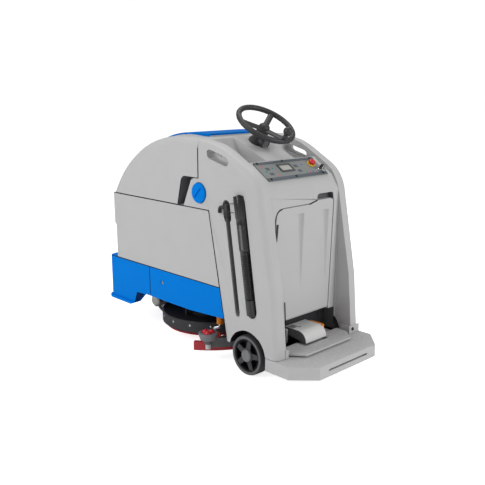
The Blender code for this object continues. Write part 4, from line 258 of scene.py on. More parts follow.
# Powder coat is a thick, slightly pebbled black; the turned axle is bright with a soft sheen.
powder_coat = coated("powder_coated_steel", "2A2B2E", 0.55, 1.2, 0.1)
turned_steel = coated("turned_steel", "B6B8BA", 0.32, 0.8, 0.03, metallic=1.0)
dress("chassis_frame", "welded_frame", 0.0015, powder_coat, "black_painted_steel")
dress("rear_axle", "axle_bar", 0, turned_steel, "bare_steel")

# Rear wheels: idle wheels with a solid grey-black rubber tyre on a five-spoke moulded hub.
# Each turns on the axle and is kept on by a moulded cap pressed over its end.
TYRE_SECTION_POINTS = 28
TYRE_SQUARENESS = 3.4
HUB_RING_SHARE = 0.895
POCKET_DEPTH = 0.003
TREAD_TURN = 0.6
TYRE_STEPS = 72
shift = Matrix.Translation


def spun(section, steps, angle, middle):
    """Spin a section about an axis along X."""
    edit_all()
    bpy.ops.mesh.spin(steps=steps, angle=angle, center=middle, axis=(1, 0, 0))
    bpy.ops.mesh.select_all(action="SELECT")
    bpy.ops.mesh.remove_doubles(threshold=SAME_POINT)
    edit_done()
    return section


def tyre_ring(name, tyre, hub):
    """A solid tyre: its section, a squared round, spun about the axle."""
    low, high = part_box(tyre)
    hub_low, hub_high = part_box(hub)
    middle = (low + high) / 2
    outer = (high.z - low.z) / 2
    inner = (hub_high.z - hub_low.z) / 2
    half_width = (high.x - low.x) / 2
    ring = primitive(name, bpy.ops.mesh.primitive_circle_add, vertices=TYRE_SECTION_POINTS, radius=1.0)
    for point in ring.data.vertices:
        across, up = point.co.x, point.co.y
        point.co.x = middle.x + half_width * copysign(abs(across) ** (2 / TYRE_SQUARENESS), across)
        rise = copysign(abs(up) ** (2 / TYRE_SQUARENESS), up)
        point.co.y = middle.y
        point.co.z = middle.z + (outer + inner) / 2 + rise * (outer - inner) / 2
    return settle(spun(ring, TYRE_STEPS, 2 * pi, middle), 60)


def turned(name, rings, sides=32):
    """A turned piece on the Z axis: (radius, height) rings, each extruded and scaled from the last."""
    radius, height = rings[0]
    piece = primitive(name, bpy.ops.mesh.primitive_circle_add, vertices=sides, radius=radius,
                      fill_type="NGON", location=(0, 0, height))
    bpy.ops.object.transform_apply()
    bpy.ops.object.mode_set(mode="EDIT")
    bpy.ops.mesh.select_mode(type="FACE")
    bpy.ops.mesh.select_all(action="SELECT")
    for next_radius, next_height in rings[1:]:
        bpy.ops.mesh.extrude_region_move(TRANSFORM_OT_translate={"value": (0, 0, next_height - height)})
        share = next_radius / radius
        bpy.ops.transform.resize(value=(share, share, 1), center_override=(0, 0, next_height))
        radius, height = next_radius, next_height
    edit_done()
    return settle(piece)


def swing(angle, axis):
    """A turn about an axis through the origin."""
    return Matrix.Rotation(angle, 4, axis)


def placed(piece, place, direction=(0, 0, 1)):
    """Turn a piece's own Z axis to a direction and put its origin at a place, all in its mesh."""
    turn = Vector((0, 0, 1)).rotation_difference(Vector(direction)).to_matrix().to_4x4()
    piece.data.transform(shift(Vector(place)) @ turn)
    return piece


def paint(piece, looks, choose):
    """Give a piece several materials and choose one for each face by its number."""
    for look in looks:
        piece.data.materials.append(look)
    for face in piece.data.polygons:
        face.material_index = int(choose(face))
    return piece


# Cured rubber is matt; a tyre's walls are painted a lighter grey than its tread, as painted light on the
# sides that face out; nylon and plastic keep a dull moulded sheen.
tyre_wall_painted_light = coated("painted_light_tyre_wall_rubber", "68686A", 0.78, 2.5, 0.2)
tyre_tread = coated("cured_tyre_rubber", "3E3E40", 0.75, 2.5, 0.25)
hub_nylon = coated("moulded_black_nylon", "262628", 0.5)
hub_grey = coated("moulded_iron_grey_nylon", "3A3A3C", 0.5)
# Near-black painted shade for the hubs' pockets.
hub_painted_shade = coated("painted_shade_black_nylon", "0C0C0D", 0.6, shine=0.2)
cap_grey = coated("moulded_light_iron_grey_nylon", "7C7D7F", 0.48)
# Dark grey plastic for caps, ribs and the squeegee beam; the same colour is laid as painted shade in the
# console's footwell and door recess and in the tank's grip recess.
dark_grey_and_painted_shade = coated("dark_grey_plastic_and_painted_shade", "626365", 0.48)
for side, out in (("left", -1), ("right", 1)):
    tyre = tyre_ring(f"{side}_tyre_ring", f"{side}_rear_tyre", f"{side}_rear_hub")
    # The walls, which face along the axle, get the lighter grey as painted light; the tread keeps the darker
    # rubber.
    paint(tyre, (tyre_wall_painted_light, tyre_tread), lambda face: abs(face.normal.x) < TREAD_TURN)
    fit(tyre, tyre_wall_painted_light, "tyre_rubber", f"{side}_rear_tyre", body=f"{side}_wheel")
    hub_low, hub_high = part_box(f"{side}_rear_hub")
    hub_middle = (hub_low + hub_high) / 2
    hub_face = hub_low.x if out < 0 else hub_high.x
    ring_r = (hub_high.z - hub_low.z) / 2 * HUB_RING_SHARE
    hub = cad_copy(f"{side}_rear_hub", f"{side}_spoked_hub", 0.0012, plates=False)
    # The hub's pockets, and its rim beyond the ring, are painted near black as painted shade.
    paint(hub, (hub_grey, hub_painted_shade), lambda face: int(
        abs(face.center.x - hub_face) > POCKET_DEPTH or (face.center.yz - hub_middle.yz).length > ring_r))
    fit(hub, hub_grey, "black_plastic", f"{side}_rear_hub", body=f"{side}_wheel")
    low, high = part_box(f"{side}_axle_cap")
    cap_r = (high.z - low.z) / 2
    cap_out = high.x - low.x
    cap = turned(f"{side}_cap_disc", [
        (cap_r, 0), (cap_r, cap_out * 0.55), (cap_r - 0.003, cap_out), (cap_r * 0.62, cap_out),
        (cap_r * 0.58, cap_out - 0.0015)], 40)
    root_x = high.x if out < 0 else low.x
    placed(cap, (root_x, (low.y + high.y) / 2, (low.z + high.z) / 2), (out, 0, 0))
    fit(cap, cap_grey, "dark_grey_plastic", f"{side}_axle_cap")

# The platform: one grey rotationally moulded tray that the operator stands on, with cut corners.
# It is bolted to the frame and to the console's feet through two upright ears, and its top is gritty.
EAR_BOLT = (0.266, -0.207, 0.151)
EAR_BOLT_R = 0.006
GROOVE_SEAL = (0.149, -0.3815, 0.094)
GROOVE_SEAL_R = 0.0036
COVERS_X = ((-0.262, -0.24), (0.24, 0.323))
COVER_LOW = (-0.2075, 0.1275)
COVER_HIGH = (-0.199, 0.169)
LEVEL = 0.0005


def flat_at(face, height):
    """Whether a face lies flat and looks up at a height."""
    return face.normal.z > 0.99 and abs(face.center.z - height) < LEVEL


def joined(name, pieces):
    """Several meshes made one piece."""
    bpy.ops.object.select_all(action="DESELECT")
    for piece in pieces:
        piece.select_set(True)
    bpy.context.view_layer.objects.active = pieces[0]
    bpy.ops.object.join()
    pieces[0].name = name
    return pieces[0]


def copies(name, model, places):
    """One piece of many copies of a model, which stands at the origin and is used up."""
    made = []
    for place in places:
        one = bpy.data.objects.new(name, model.data.copy())
        one.data.transform(place)
        bpy.context.scene.collection.objects.link(one)
        made.append(one)
    bpy.data.objects.remove(model)
    return joined(name, made)


def socket_bolt(name, radius):
    """A round bolt head with a deep socket, on its washer, on the Z axis."""
    return turned(name, [
        (radius * 1.7, 0), (radius * 1.7, radius * 0.25), (radius, radius * 0.25), (radius, radius * 0.9),
        (radius * 0.85, radius * 1.05), (radius * 0.55, radius * 1.05), (radius * 0.5, radius * 0.4)], 24)


def block(name, low, high, radius):
    """A moulded block between two corners, with its edges rounded."""
    low, high = Vector(low), Vector(high)
    piece = primitive(name, bpy.ops.mesh.primitive_cube_add, size=1, location=(low + high) / 2)
    piece.scale = high - low
    bpy.ops.object.transform_apply()
    edit_all()
    bpy.ops.mesh.bevel(offset=radius, segments=3, affect="EDGES")
    edit_done()
    return settle(piece)


# Rotomoulded polyethylene is even in colour with a faint orange peel; the tread's grit is moulded in.
grey_shell = coated("rotomoulded_grey_polyethylene", "C2C2C2", 0.46, 5.0, 0.1, cloud=0.03, shine=0.35)
grey_tread = coated("gritty_grey_polyethylene", "BCBCBC", 0.62, 11.0, 3.0, cloud=0.24, cloud_mm=14)
zinc = coated("zinc_plated_steel", "C9CBCE", 0.28, 1.0, 0.03, metallic=1.0)
black_oxide = coated("black_oxide_steel", "303133", 0.45, 1.0, 0.03)
platform = cad_copy("platform", "standing_platform", 0.003)
tread_z = frame["record"]["mounts"][1]["pos_m"][2]
paint(platform, (grey_shell, grey_tread), lambda face: flat_at(face, tread_z))
fit(platform, grey_shell, "grey_moulding", "platform")
ear_x, ear_y, ear_z = EAR_BOLT
ear_bolt = placed(socket_bolt("ear_bolt", EAR_BOLT_R), at(ear_x, ear_y, ear_z), (0, -1, 0))
fit(ear_bolt, black_oxide, "black_painted_steel")
covers = [block("foot_cover", at(near, *COVER_LOW), at(far, *COVER_HIGH), 0.002) for near, far in COVERS_X]
fit(joined("foot_covers", covers), grey_shell, "grey_moulding")
seal_x, seal_y, seal_z = GROOVE_SEAL
seal = turned("groove_seal", [
    (GROOVE_SEAL_R * 0.7, 0), (GROOVE_SEAL_R, 0.002), (GROOVE_SEAL_R, 2 * seal_x - 0.026),
    (GROOVE_SEAL_R * 1.9, 2 * seal_x - 0.024), (GROOVE_SEAL_R * 1.9, 2 * seal_x - 0.002),
    (GROOVE_SEAL_R * 1.2, 2 * seal_x)], 16)
placed(seal, at(-seal_x, seal_y, seal_z), (1, 0, 0))
fit(seal, hub_nylon, "black_rubber")

# The step plate: a raised tread that senses the operator's weight and gives a few millimetres on four pegs.
# It is moulded in the same grey, with a gritty top; its pegs run free in the platform's holes.
PEGS = ((-0.205, -0.14), (-0.205, -0.18), (0.205, -0.14), (0.205, -0.18))
PEG_R = 0.0056
PEG_ROOT_R = 0.0097
PLATE_THICK = 0.011
step = cad_copy("step_plate", "tread_plate", 0.003)
step_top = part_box("step_plate")[1].z
for peg_x, peg_y in PEGS:
    middle = at(peg_x, peg_y, 0)
    for point in step.data.vertices:
        reach = (point.co - middle).xy
        if point.co.z < step_top - PLATE_THICK and PEG_R < reach.length < PEG_ROOT_R:
            point.co.x, point.co.y = middle.xy + reach.normalized() * PEG_R
paint(step, (grey_shell, grey_tread), lambda face: flat_at(face, step_top))
fit(step, grey_shell, "grey_moulding", "step_plate", body="step")

# The foot pedal: a bent light-grey hood over a ribbed dark cheek, with an orange cheek on its right.
# It turns on a steel shaft held by two brackets of the platform.
PEDAL_RIBS = 6
RIB_PITCH = 0.0125
RIB_PROUD = 0.0014
PAD_RIBS = 5
PAD_PITCH = 0.0085
DIMPLE = (-0.028, -0.09)
# The pedal's cheeks are glass-filled and dull; the orange is a glossier acetal. The charcoal below is painted
# shade, laid on the rear door's edges.
door_edge_painted_shade = coated("charcoal_painted_door_gap_shade", "3C3D3F", 0.5)
orange_acetal = coated("moulded_orange_acetal", "E88A18", 0.38, 1.5, 0.06)
pedal_grey = coated("moulded_light_grey_plastic", "DEDEDD", 0.42, 2.0, 0.06, cloud=0.03)
pedal = cad_copy("drive_pedal", "pedal_hood", 0.002)
pedal_low, pedal_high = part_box("drive_pedal")
pedal_top = pedal_high.z
paint(pedal, (pedal_grey, dark_grey_and_painted_shade), lambda face: int(
    face.center.x < pedal_low.x + 0.0045 and abs(face.normal.x) > 0.5))
fit(pedal, pedal_grey, "grey_moulding", "drive_pedal", body="pedal")
ribs = [block(
    "cheek_rib", (pedal_low.x - RIB_PROUD, pedal_low.y + 0.03 + index * RIB_PITCH, pedal_low.z + 0.01),
    (pedal_low.x + 0.002, pedal_low.y + 0.035 + index * RIB_PITCH, pedal_top - 0.018), 0.0012)
    for index in range(PEDAL_RIBS)]
fit(joined("cheek_ribs", ribs), dark_grey_and_painted_shade, "dark_grey_plastic", body="pedal")
pads = [block("pad_rib", (pedal_low.x + 0.003, pedal_high.y - 0.052 + index * PAD_PITCH, pedal_top - 0.002),
              (pedal_low.x + 0.046, pedal_high.y - 0.047 + index * PAD_PITCH, pedal_top + 0.0016), 0.0011)
        for index in range(PAD_RIBS)]
fit(joined("toe_pad_ribs", pads), dark_grey_and_painted_shade, "dark_grey_plastic", body="pedal")
dimple = turned("hood_dimple", [(0.006, 0), (0.006, 0.0006), (0.0045, 0.0012), (0.003, 0.0004)], 20)
dimple.data.transform(Matrix.Diagonal((1.6, 0.8, 1, 1)))
placed(dimple, at(DIMPLE[0], DIMPLE[1], pedal_top - 0.0004))
fit(dimple, hub_nylon, "black_plastic", body="pedal")
orange_cheek = block("orange_cheek", (pedal_high.x - 0.001, pedal_low.y + 0.024, pedal_top - 0.034),
                     (pedal_high.x + 0.013, pedal_high.y - 0.034, pedal_top + 0.002), 0.004)
fit(orange_cheek, orange_acetal, "orange_plastic", body="pedal")
dress("pedal_shaft", "pedal_pin", 0, turned_steel, "bare_steel")

# The lower body: a grey rotationally moulded tub that is solution tank and battery box in one.
# It rests on the rails; its right rim carries the hinge rod that the recovery tank tips on.
SIDE_X = -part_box("lower_body")[0].x


def seam_edge(face):
    """Whether a face lies on the rounding of an outer side, where two mouldings meet and the seam's shade is
    painted.
    """
    return abs(face.center.x) > SIDE_X - 0.0032 and 0.2 < abs(face.normal.x) < 0.97


# Black painted shade for the seams between mouldings, the wheel arches and the strips laid in the seams.
black_painted_shade = coated("black_painted_seam_shade", "161617", 0.8, shine=0.2)
tub = cad_copy("lower_body", "lower_tub", 0.003)
# The tub's outer roundings along its seams are painted black as painted shade of the seams.
paint(tub, (grey_shell, black_painted_shade), lambda face: int(seam_edge(face) and face.normal.y < 0.2))
fit(tub, grey_shell, "grey_moulding", "lower_body")
dress("tank_hinge_rod", "tank_hinge_pin", 0, turned_steel, "bare_steel")

# Blue skirts and front bumper: thick blue mouldings screwed to the frame to cover the deck.
# The bumper wraps round the front and ends in a flared lip near the floor; a zinc bolt sits in each skirt.
SKIRT_BOLT = (0.316, 0.687, 0.34)
SKIRT_BOLT_R = 0.0062
SKIRT_TOP_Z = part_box("left_side_skirt")[1].z
FOLD_CORNERS = ((0.853, 0.2365), (0.931, 0.232), (0.957, 0.166), (0.978, 0.152), (0.911, 0.18))
FOLD_SINK = 0.002
FOLD_PROUD = 0.0012
blue_shell = coated("moulded_blue_polyethylene", "0080E2", 0.55, 5.0, 0.08, cloud=0.03, shine=0.03)
# A dark blue used only as painted shade on the bumper's rear lower corners.
fold_painted_shade = coated("painted_shade_blue_polyethylene", "002350", 0.55, 5.0, 0.08, cloud=0.03, shine=0.03)
for source, name in (("front_bumper", "bumper_shell"), ("left_side_skirt", "left_skirt_panel"),
                     ("right_side_skirt", "right_skirt_panel")):
    shell = cad_copy(source, name, 0.003)
    # The tops of the skirts and bumper along the seam with the tub are painted black as painted shade of the
    # seam.
    paint(shell, (blue_shell, black_painted_shade), lambda face: int(
        abs(face.center.x) > SIDE_X - 0.012 and face.normal.z > 0.2 and face.center.z > SKIRT_TOP_Z - 0.004))
    fit(shell, blue_shell, "blue_moulding", source)
skirt_bolts = copies("skirt_bolts", socket_bolt("skirt_bolt", SKIRT_BOLT_R), [
    shift(at(side * SKIRT_BOLT[0], *SKIRT_BOLT[1:])) @ swing(side * pi / 2, "Y")
    for side in (-1, 1)])
fit(skirt_bolts, zinc, "bare_steel")
# On each side of the bumper's rear lower corner, where it turns in, a thin dark blue plate is laid as painted
# shade.
folds = []
for side in (-1, 1):
    fold = primitive(
        "bumper_shade_plate", bpy.ops.mesh.primitive_circle_add, vertices=len(FOLD_CORNERS), fill_type="NGON")
    for point, (y, z) in zip(fold.data.vertices, FOLD_CORNERS):
        point.co = at(side * (SIDE_X - FOLD_SINK), y, z)
    edit_all()
    bpy.ops.mesh.extrude_region_move(
        TRANSFORM_OT_translate={"value": (side * (FOLD_SINK + FOLD_PROUD), 0, 0)})
    edit_done()
    folds.append(settle(fold))
fit(joined("bumper_shade_plates", folds), fold_painted_shade, "blue_moulding")

# The console: one tall grey moulding with two wings, the dash, the hand holds and the hose channels.
# It is screwed to the frame, and its feet stand on the platform; its footwell walls and the door's recess are
# painted charcoal, and its wheel arches and seams black, all as painted shade.
FOOTWELL_SHADE_X = 0.245
ARCH_R = 0.13
ARCH_IN_X = 0.235
RECESS_LOW = (0.095, -0.086, 0.85)
RECESS_HIGH = (0.22, -0.025, 0.892)
CUT_X = -0.28
CRISP_CUTS = ((-0.08, 0.175, 0.2, 0.93), (0.285, 0.425, 0.825, 0.955))
console = cad_copy("console_shell", "console_moulding", 0.003, segments=3, keep=lambda *ends: not any(all(
    end.x < CUT_X and back < end.y - AXLE_Y < front and low < end.z < high for end in ends)
    for back, front, low, high in CRISP_CUTS), plates=False)


def console_skin(face):
    """Painted shade: black along the seams and in the wheel arches, charcoal on the footwell walls and in the
    door's recess.
    """
    x, y, z = face.center - at(0, 0, 0)
    if abs(abs(x) - FOOTWELL_SHADE_X) < 0.0005 and abs(face.normal.x) > 0.9:
        return 2
    if abs(x) > ARCH_IN_X and hypot(y, z - (axle_low.z + axle_high.z) / 2) < ARCH_R:
        return 1
    if seam_edge(face) and z > 0.23 and (face.normal.y > 0.2 or face.normal.z < -0.2 and z > 0.75):
        return 1
    in_recess = all(low < place < high for low, place, high in zip(RECESS_LOW, (x, y, z), RECESS_HIGH))
    return 2 if in_recess else 0


paint(console, (grey_shell, black_painted_shade, dark_grey_and_painted_shade), console_skin)
fit(console, grey_shell, "grey_moulding", "console_shell")

# The rear door: a grey moulded flap with two tapering flutes, turning on a steel rod along its foot.
# Its edges are painted charcoal as painted shade of the gap round it, and a tapered latch blade is let into
# its left side.
LATCH = (-0.206, -0.0905, 0.728)
FLUTES_X = (-0.036, 0.158)
FLUTE_REACH = 0.037
FLUTE_Z = (0.395, 0.806)
FLUTE_DEPTH = 0.0145
FLUTE_DEEPER = 0.7
door = cad_copy("rear_door", "service_flap", 0.004)
door_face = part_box("rear_door")[0].y
for point in door.data.vertices:
    depth = point.co.y - door_face
    if (0.0004 < depth < FLUTE_DEPTH and FLUTE_Z[0] < point.co.z < FLUTE_Z[1]
            and min(abs(point.co.x - x) for x in FLUTES_X) < FLUTE_REACH):
        point.co.y += depth * FLUTE_DEEPER
# The door's edge faces, away from the flutes, are painted charcoal as painted shade of the gap round it.
paint(door, (grey_shell, door_edge_painted_shade), lambda face: int(
    face.normal.y > -0.97 and min(abs(face.center.x - x) for x in FLUTES_X) > FLUTE_REACH))
fit(door, grey_shell, "grey_moulding", "rear_door", body="door")
dress("door_hinge_rod", "door_hinge_pin", 0, turned_steel, "bare_steel")
latch_place = at(*LATCH)
latch = block("latch_blade", latch_place - Vector((0.007, 0.002, 0.042)),
              latch_place + Vector((0.007, 0.01, 0.042)), 0.0018)
for point in latch.data.vertices:
    if point.co.z < latch_place.z:
        point.co.x += (latch_place.x - 0.006 - point.co.x) * (latch_place.z - point.co.z) / 0.055
fit(latch, hub_nylon, "black_plastic", body="door")

# The recovery tank and its lid: a grey moulded dome that tips to the right for cleaning.
# The blue lid lies on its crown inside a low kerb, hinged on two small lugs.
CROWN_CENTRE = (0.54, 0.465)
CROWN_R = 0.7
KERB_X = -0.2055
KERB_THICK = 0.005
KERB_HEIGHT = 0.021
SIDE_KERB_HEIGHT = 0.006
GRIP_LOW = (-0.3205, 0.4, 0.8125)
GRIP_HIGH = (-0.24, 0.545, 0.968)
KERB_BACK = (0.394, 1.1496)
KERB_ANGLE = radians(30.0)
KERB_STEPS = 24
KERB_SINK = 0.003
lid_blue = coated("moulded_deep_blue_polyethylene", "0074CE", 0.5, 5.0, 0.08, cloud=0.03, shine=0.03)
dome = cad_copy("recovery_tank", "recovery_dome", 0.003)
# The grip recess in the tank's left side is painted dark grey, and its roundings along the seams black, both
# as painted shade.
paint(dome, (grey_shell, black_painted_shade, dark_grey_and_painted_shade), lambda face: 2 if all(
    low < place < high for low, place, high in zip(GRIP_LOW, face.center - at(0, 0, 0), GRIP_HIGH))
    else int(seam_edge(face) and face.normal.z < 0.1 and face.normal.y < 0.2))
fit(dome, grey_shell, "grey_moulding", "recovery_tank", body="tank")
dress("recovery_lid", "crown_lid", 0.002, lid_blue, "blue_moulding", body="lid")
dress("lid_hinge_rod", "lid_hinge_pin", 0, turned_steel, "bare_steel", body="tank")
kerb = primitive("lid_kerb", bpy.ops.mesh.primitive_plane_add, size=1)
kerb_start = (Vector(KERB_BACK) - Vector(CROWN_CENTRE)).normalized()
for point in kerb.data.vertices:
    reach = kerb_start * (CROWN_R - KERB_SINK + (SIDE_KERB_HEIGHT + KERB_SINK) * (point.co.y + 0.5))
    point.co = at(KERB_X + KERB_THICK * point.co.x, CROWN_CENTRE[0] + reach.x, CROWN_CENTRE[1] + reach.y)
settle(spun(kerb, KERB_STEPS, KERB_ANGLE, at(0, *CROWN_CENTRE)))
back_kerb = block("lid_back_kerb", at(KERB_X - KERB_THICK / 2, KERB_BACK[0] - 0.004, KERB_BACK[1] - 0.02),
                  at(-KERB_X, KERB_BACK[0] + 0.001, KERB_BACK[1] + KERB_HEIGHT), 0.0015)
fit(joined("lid_kerb", [kerb, back_kerb]), grey_shell, "grey_moulding", body="tank")

# The filler: a black neck screwed into the tab of the console, closed by a blue quarter-turn cap.
# The cap has a slot across its face for the fingers.
dress("fill_neck", "filler_neck_ring", 0.001, hub_nylon, "black_plastic")
dress("fill_cap", "filler_cap_disc", 0.0012, blue_shell, "blue_moulding", body="cap")

# Steering: a black soft-skinned wheel with a spinner knob on its rim, on a steel shaft.
# A black boot closes the gap where the column goes into the dash, with the tilt lock's barrel under it.
COLUMN_LEAN = radians(32.6)
COLUMN_TOP = (0, 0.193, 1.231)
RIM_R = 0.151
RIM_THICK = 0.0146
RIM_GRIPS = 34
GRIP_DIP = 0.0004
HUB_DROP = 0.03
HUB_RINGS = [(0.012, -0.056), (0.032, -0.056), (0.033, -0.054), (0.033, -0.04), (0.0315, -0.026),
             (0.0275, -0.013), (0.021, -0.006), (0.012, -0.0035), (0.004, -0.003)]
SPOKES = ((36.0, 0.017), (166.0, 0.025), (278.0, 0.025))
SPOKE_FLAT = 0.34
KNOB_DEG = -92.0
KNOB_R = 0.024
KNOB_HEIGHT = 0.069
BOOT_SEAT = 0.118
SHAFT_SHARE = 0.95
BARREL_END = (0, 0.193, 1.125)
BARREL_ROOT = (0, 0.25, 1.153)
BARREL_R = 0.029


def slimmed(piece, axis, low, reach):
    """Draw in the points of a shaft, so that it turns freely in its bore; heights count along its axis."""
    back = axis.inverted()
    for point in piece.data.vertices:
        place = back @ point.co
        if place.z > low and place.xy.length < reach:
            point.co = axis @ Vector((place.x * SHAFT_SHARE, place.y * SHAFT_SHARE, place.z))
    return piece


def ball_rings(radius, middle, start_deg, end_deg, steps):
    """(radius, height) rings on a ball, from one latitude to another."""
    angles = [radians(start_deg + (end_deg - start_deg) * step / steps) for step in range(steps + 1)]
    return [(max(radius * cos(angle), 0.0005), middle + radius * sin(angle)) for angle in angles]


# The soft skin is matt with a fine leathery grain.
wheel_skin = coated("soft_black_polyurethane", "333335", 0.5, 2.0, 0.12)
disc_grey = coated("moulded_mid_grey_plastic", "757677", 0.45, 1.5, 0.06)
column = shift(at(*COLUMN_TOP)) @ swing(COLUMN_LEAN, "X")
column_up = column.to_3x3() @ Vector((0, 0, 1))
rim = primitive("wheel_rim", bpy.ops.mesh.primitive_torus_add, major_segments=136, minor_segments=18,
                major_radius=RIM_R, minor_radius=RIM_THICK)
for point in rim.data.vertices:
    turn = atan2(point.co.y, point.co.x)
    if point.co.z < -RIM_THICK * 0.2:
        point.co.z += GRIP_DIP * (1 + cos(RIM_GRIPS * turn)) * -point.co.z / RIM_THICK
settle(rim, 60)
wheel_pieces = [rim, turned("wheel_hub", HUB_RINGS, 40)]
spoke_run = hypot(HUB_DROP, RIM_R - 0.012)
spoke_slope = atan2(HUB_DROP, RIM_R - 0.012)
for degrees, half_wide in SPOKES:
    spoke = turned("wheel_spoke", [
        (half_wide, 0), (half_wide * 0.94, spoke_run * 0.35), (half_wide * 0.94, spoke_run * 0.7),
        (half_wide, spoke_run)], 20)
    spoke.data.transform(swing(pi / 2, "Y") @ Matrix.Diagonal((SPOKE_FLAT, 1, 1, 1)))
    lean = shift((0.012, 0, -HUB_DROP)) @ swing(-spoke_slope, "Y")
    spoke.data.transform(swing(radians(degrees), "Z") @ lean)
    wheel_pieces.append(spoke)
knob_spot = Vector((cos(radians(KNOB_DEG)), sin(radians(KNOB_DEG)), 0)) * RIM_R
post = turned("knob_post", [(0.006, 0), (0.006, 0.058), (0.005, 0.0595)], 16)
wheel_pieces.append(placed(post, knob_spot))
steering = joined("wheel_rim", wheel_pieces)
steering.data.transform(column)
fit(steering, wheel_skin, "black_plastic", "steering_wheel", body="steering")
shaft = slimmed(cad_copy("steering_shaft", "column_shaft"), column, -1.0, RIM_R)
fit(shaft, turned_steel, "bare_steel", "steering_shaft", body="steering")
knob_rings = [(0.0105, 0), (0.013, 0.001), (0.013, 0.018), (0.0115, 0.0205)]
knob_rings += ball_rings(KNOB_R, KNOB_HEIGHT - KNOB_R, -60, 88, 12)
knob = turned("knob_grip", knob_rings, 32)
placed(knob, column @ (knob_spot + Vector((0, 0, RIM_THICK + 0.0006))), column_up)
fit(knob, wheel_skin, "black_plastic", "spinner_knob", body="knob")
boot_rings = [(0.0495, 0.0004), (0.05, 0.002), (0.05, 0.009)]
for fold in range(5):
    fold_r = 0.046 - 0.0038 * fold
    boot_rings += [(fold_r, 0.0125 + fold * 0.0085), (fold_r - 0.004, 0.0165 + fold * 0.0085)]
boot_rings += [(0.027, 0.052), (0.027, 0.0555), (0.026, 0.056), (0.0128, 0.056)]
boot = turned("column_boot", boot_rings, 40)
placed(boot, column @ Vector((0, 0, -BOOT_SEAT)), column_up)
fit(boot, hub_nylon, "black_rubber", "steering_boot")
barrel_way = Vector(BARREL_END) - Vector(BARREL_ROOT)
barrel = turned("tilt_lock_barrel", [
    (BARREL_R, 0), (BARREL_R, barrel_way.length - 0.003), (BARREL_R - 0.002, barrel_way.length),
    (BARREL_R * 0.82, barrel_way.length), (BARREL_R * 0.8, barrel_way.length - 0.002)])
paint(barrel, (hub_nylon, disc_grey), lambda face: int(
    flat_at(face, barrel_way.length - 0.002)))
placed(barrel, at(*BARREL_ROOT), barrel_way)
fit(barrel, hub_nylon, "black_plastic")

# The control panel: a film-faced plate on the dash between two dark trims, with its display in a bezel.
# Soft keys and lamps lie under the film; the stop button, its collar and the key switch stand out of it.
DASH_LOW = (-0.047, 0.972)
DASH_HIGH = (0.0715, 1.051)
PANEL_HALF = 0.22
PANEL_DEPTH = 0.14
PANEL_FACE = 0.0043
DISPLAY = (-0.035, 0.012, 0.075, 0.04)
STOP = (0.165, 0.018)
KEY = (0.188, -0.03)
KEY_RING_R = 0.01
TRIM_CLIPS = (-0.2, -0.02, 0.19)
SOFT_KEYS = ((-0.16, 0.018), (-0.16, -0.02), (0.045, 0.018), (0.045, -0.02))
LAMPS = (("2F9C8C", -0.125, 0.02), ("2F9C8C", -0.185, -0.002), ("D27A84", -0.185, 0.04),
         ("D27A84", -0.125, -0.034), ("5878C0", 0.095, 0.022), ("57A05A", 0.085, -0.034),
         ("C4587E", 0.105, -0.04), ("5878C0", 0.128, -0.036))
LAMP_RINGS = ((0.0062, -0.001), (0.0062, 0.0008), (0.005, 0.0016), (0.002, 0.0019))
# Printed film has a satin face, the pane a clear gloss; the stop button is a bright glossy red.
panel_film = coated("printed_polyester_film", "8A8D8C", 0.42, 1.0, 0.02)
trim_plastic = coated("moulded_slate_plastic", "596268", 0.5, 1.5, 0.06)
bezel_plastic = coated("moulded_bezel_plastic", "55595A", 0.45, 1.5, 0.05)
display_glass = coated("display_acrylic", "BFBEB8", 0.12, 1.0, 0.0)
red_gloss = coated("glossy_red_plastic", "D3262B", 0.25, 2.0, 0.03)
yellow_plastic = coated("moulded_yellow_plastic", "E8C21E", 0.35, 2.0, 0.03)
dash_tilt = atan2(DASH_HIGH[1] - DASH_LOW[1], DASH_HIGH[0] - DASH_LOW[0])
panel = shift(
    at(0, (DASH_LOW[0] + DASH_HIGH[0]) / 2, (DASH_LOW[1] + DASH_HIGH[1]) / 2)) @ swing(dash_tilt, "X")
panel_out = panel.to_3x3() @ Vector((0, 0, 1))
dress("control_panel", "panel_plate", 0.001, panel_film, "panel_film")
dress("display_window", "display_pane", 0.0004, display_glass, "display_window")
half_depth = PANEL_DEPTH / 2
trim = joined("panel_trims", [
    block("panel_trim", (-PANEL_HALF + 0.0005, low_v, PANEL_FACE - 0.001),
          (PANEL_HALF - 0.0005, high_v, PANEL_FACE + 0.003), 0.0012)
    for low_v, high_v in (
        (-half_depth + 0.0005, -half_depth + 0.022), (half_depth - 0.016, half_depth - 0.0005))])
trim.data.transform(panel)
fit(trim, trim_plastic, "dark_grey_plastic")
clips = copies("trim_clips", socket_bolt("trim_clip", 0.0042), [
    panel @ shift((x, v, PANEL_FACE + 0.003)) for x in TRIM_CLIPS
    for v in (-half_depth + 0.011, half_depth - 0.0082)])
fit(clips, hub_nylon, "black_plastic")
display_x, display_v, display_wide, display_deep = DISPLAY
bezel = primitive("display_bezel", bpy.ops.mesh.primitive_plane_add, size=1)
bezel.scale = (display_wide + 0.02, display_deep + 0.016, 1)
bpy.ops.object.transform_apply()
edit_all()
bpy.ops.mesh.inset(thickness=0.0085)
bpy.ops.mesh.delete(type="FACE")
bpy.ops.mesh.select_all(action="SELECT")
bpy.ops.mesh.extrude_region_move(TRANSFORM_OT_translate={"value": (0, 0, 0.0055)})
edit_done()
settle(bezel)
bezel.data.transform(panel @ shift((display_x, display_v, PANEL_FACE - 0.0005)))
fit(bezel, bezel_plastic, "dark_grey_plastic")
keys = copies("soft_keys", block("soft_key", (-0.013, -0.009, -0.001), (0.013, 0.009, 0.0014), 0.0011), [
    panel @ shift((x, v, PANEL_FACE)) for x, v in SOFT_KEYS])
fit(keys, trim_plastic, "dark_grey_plastic")
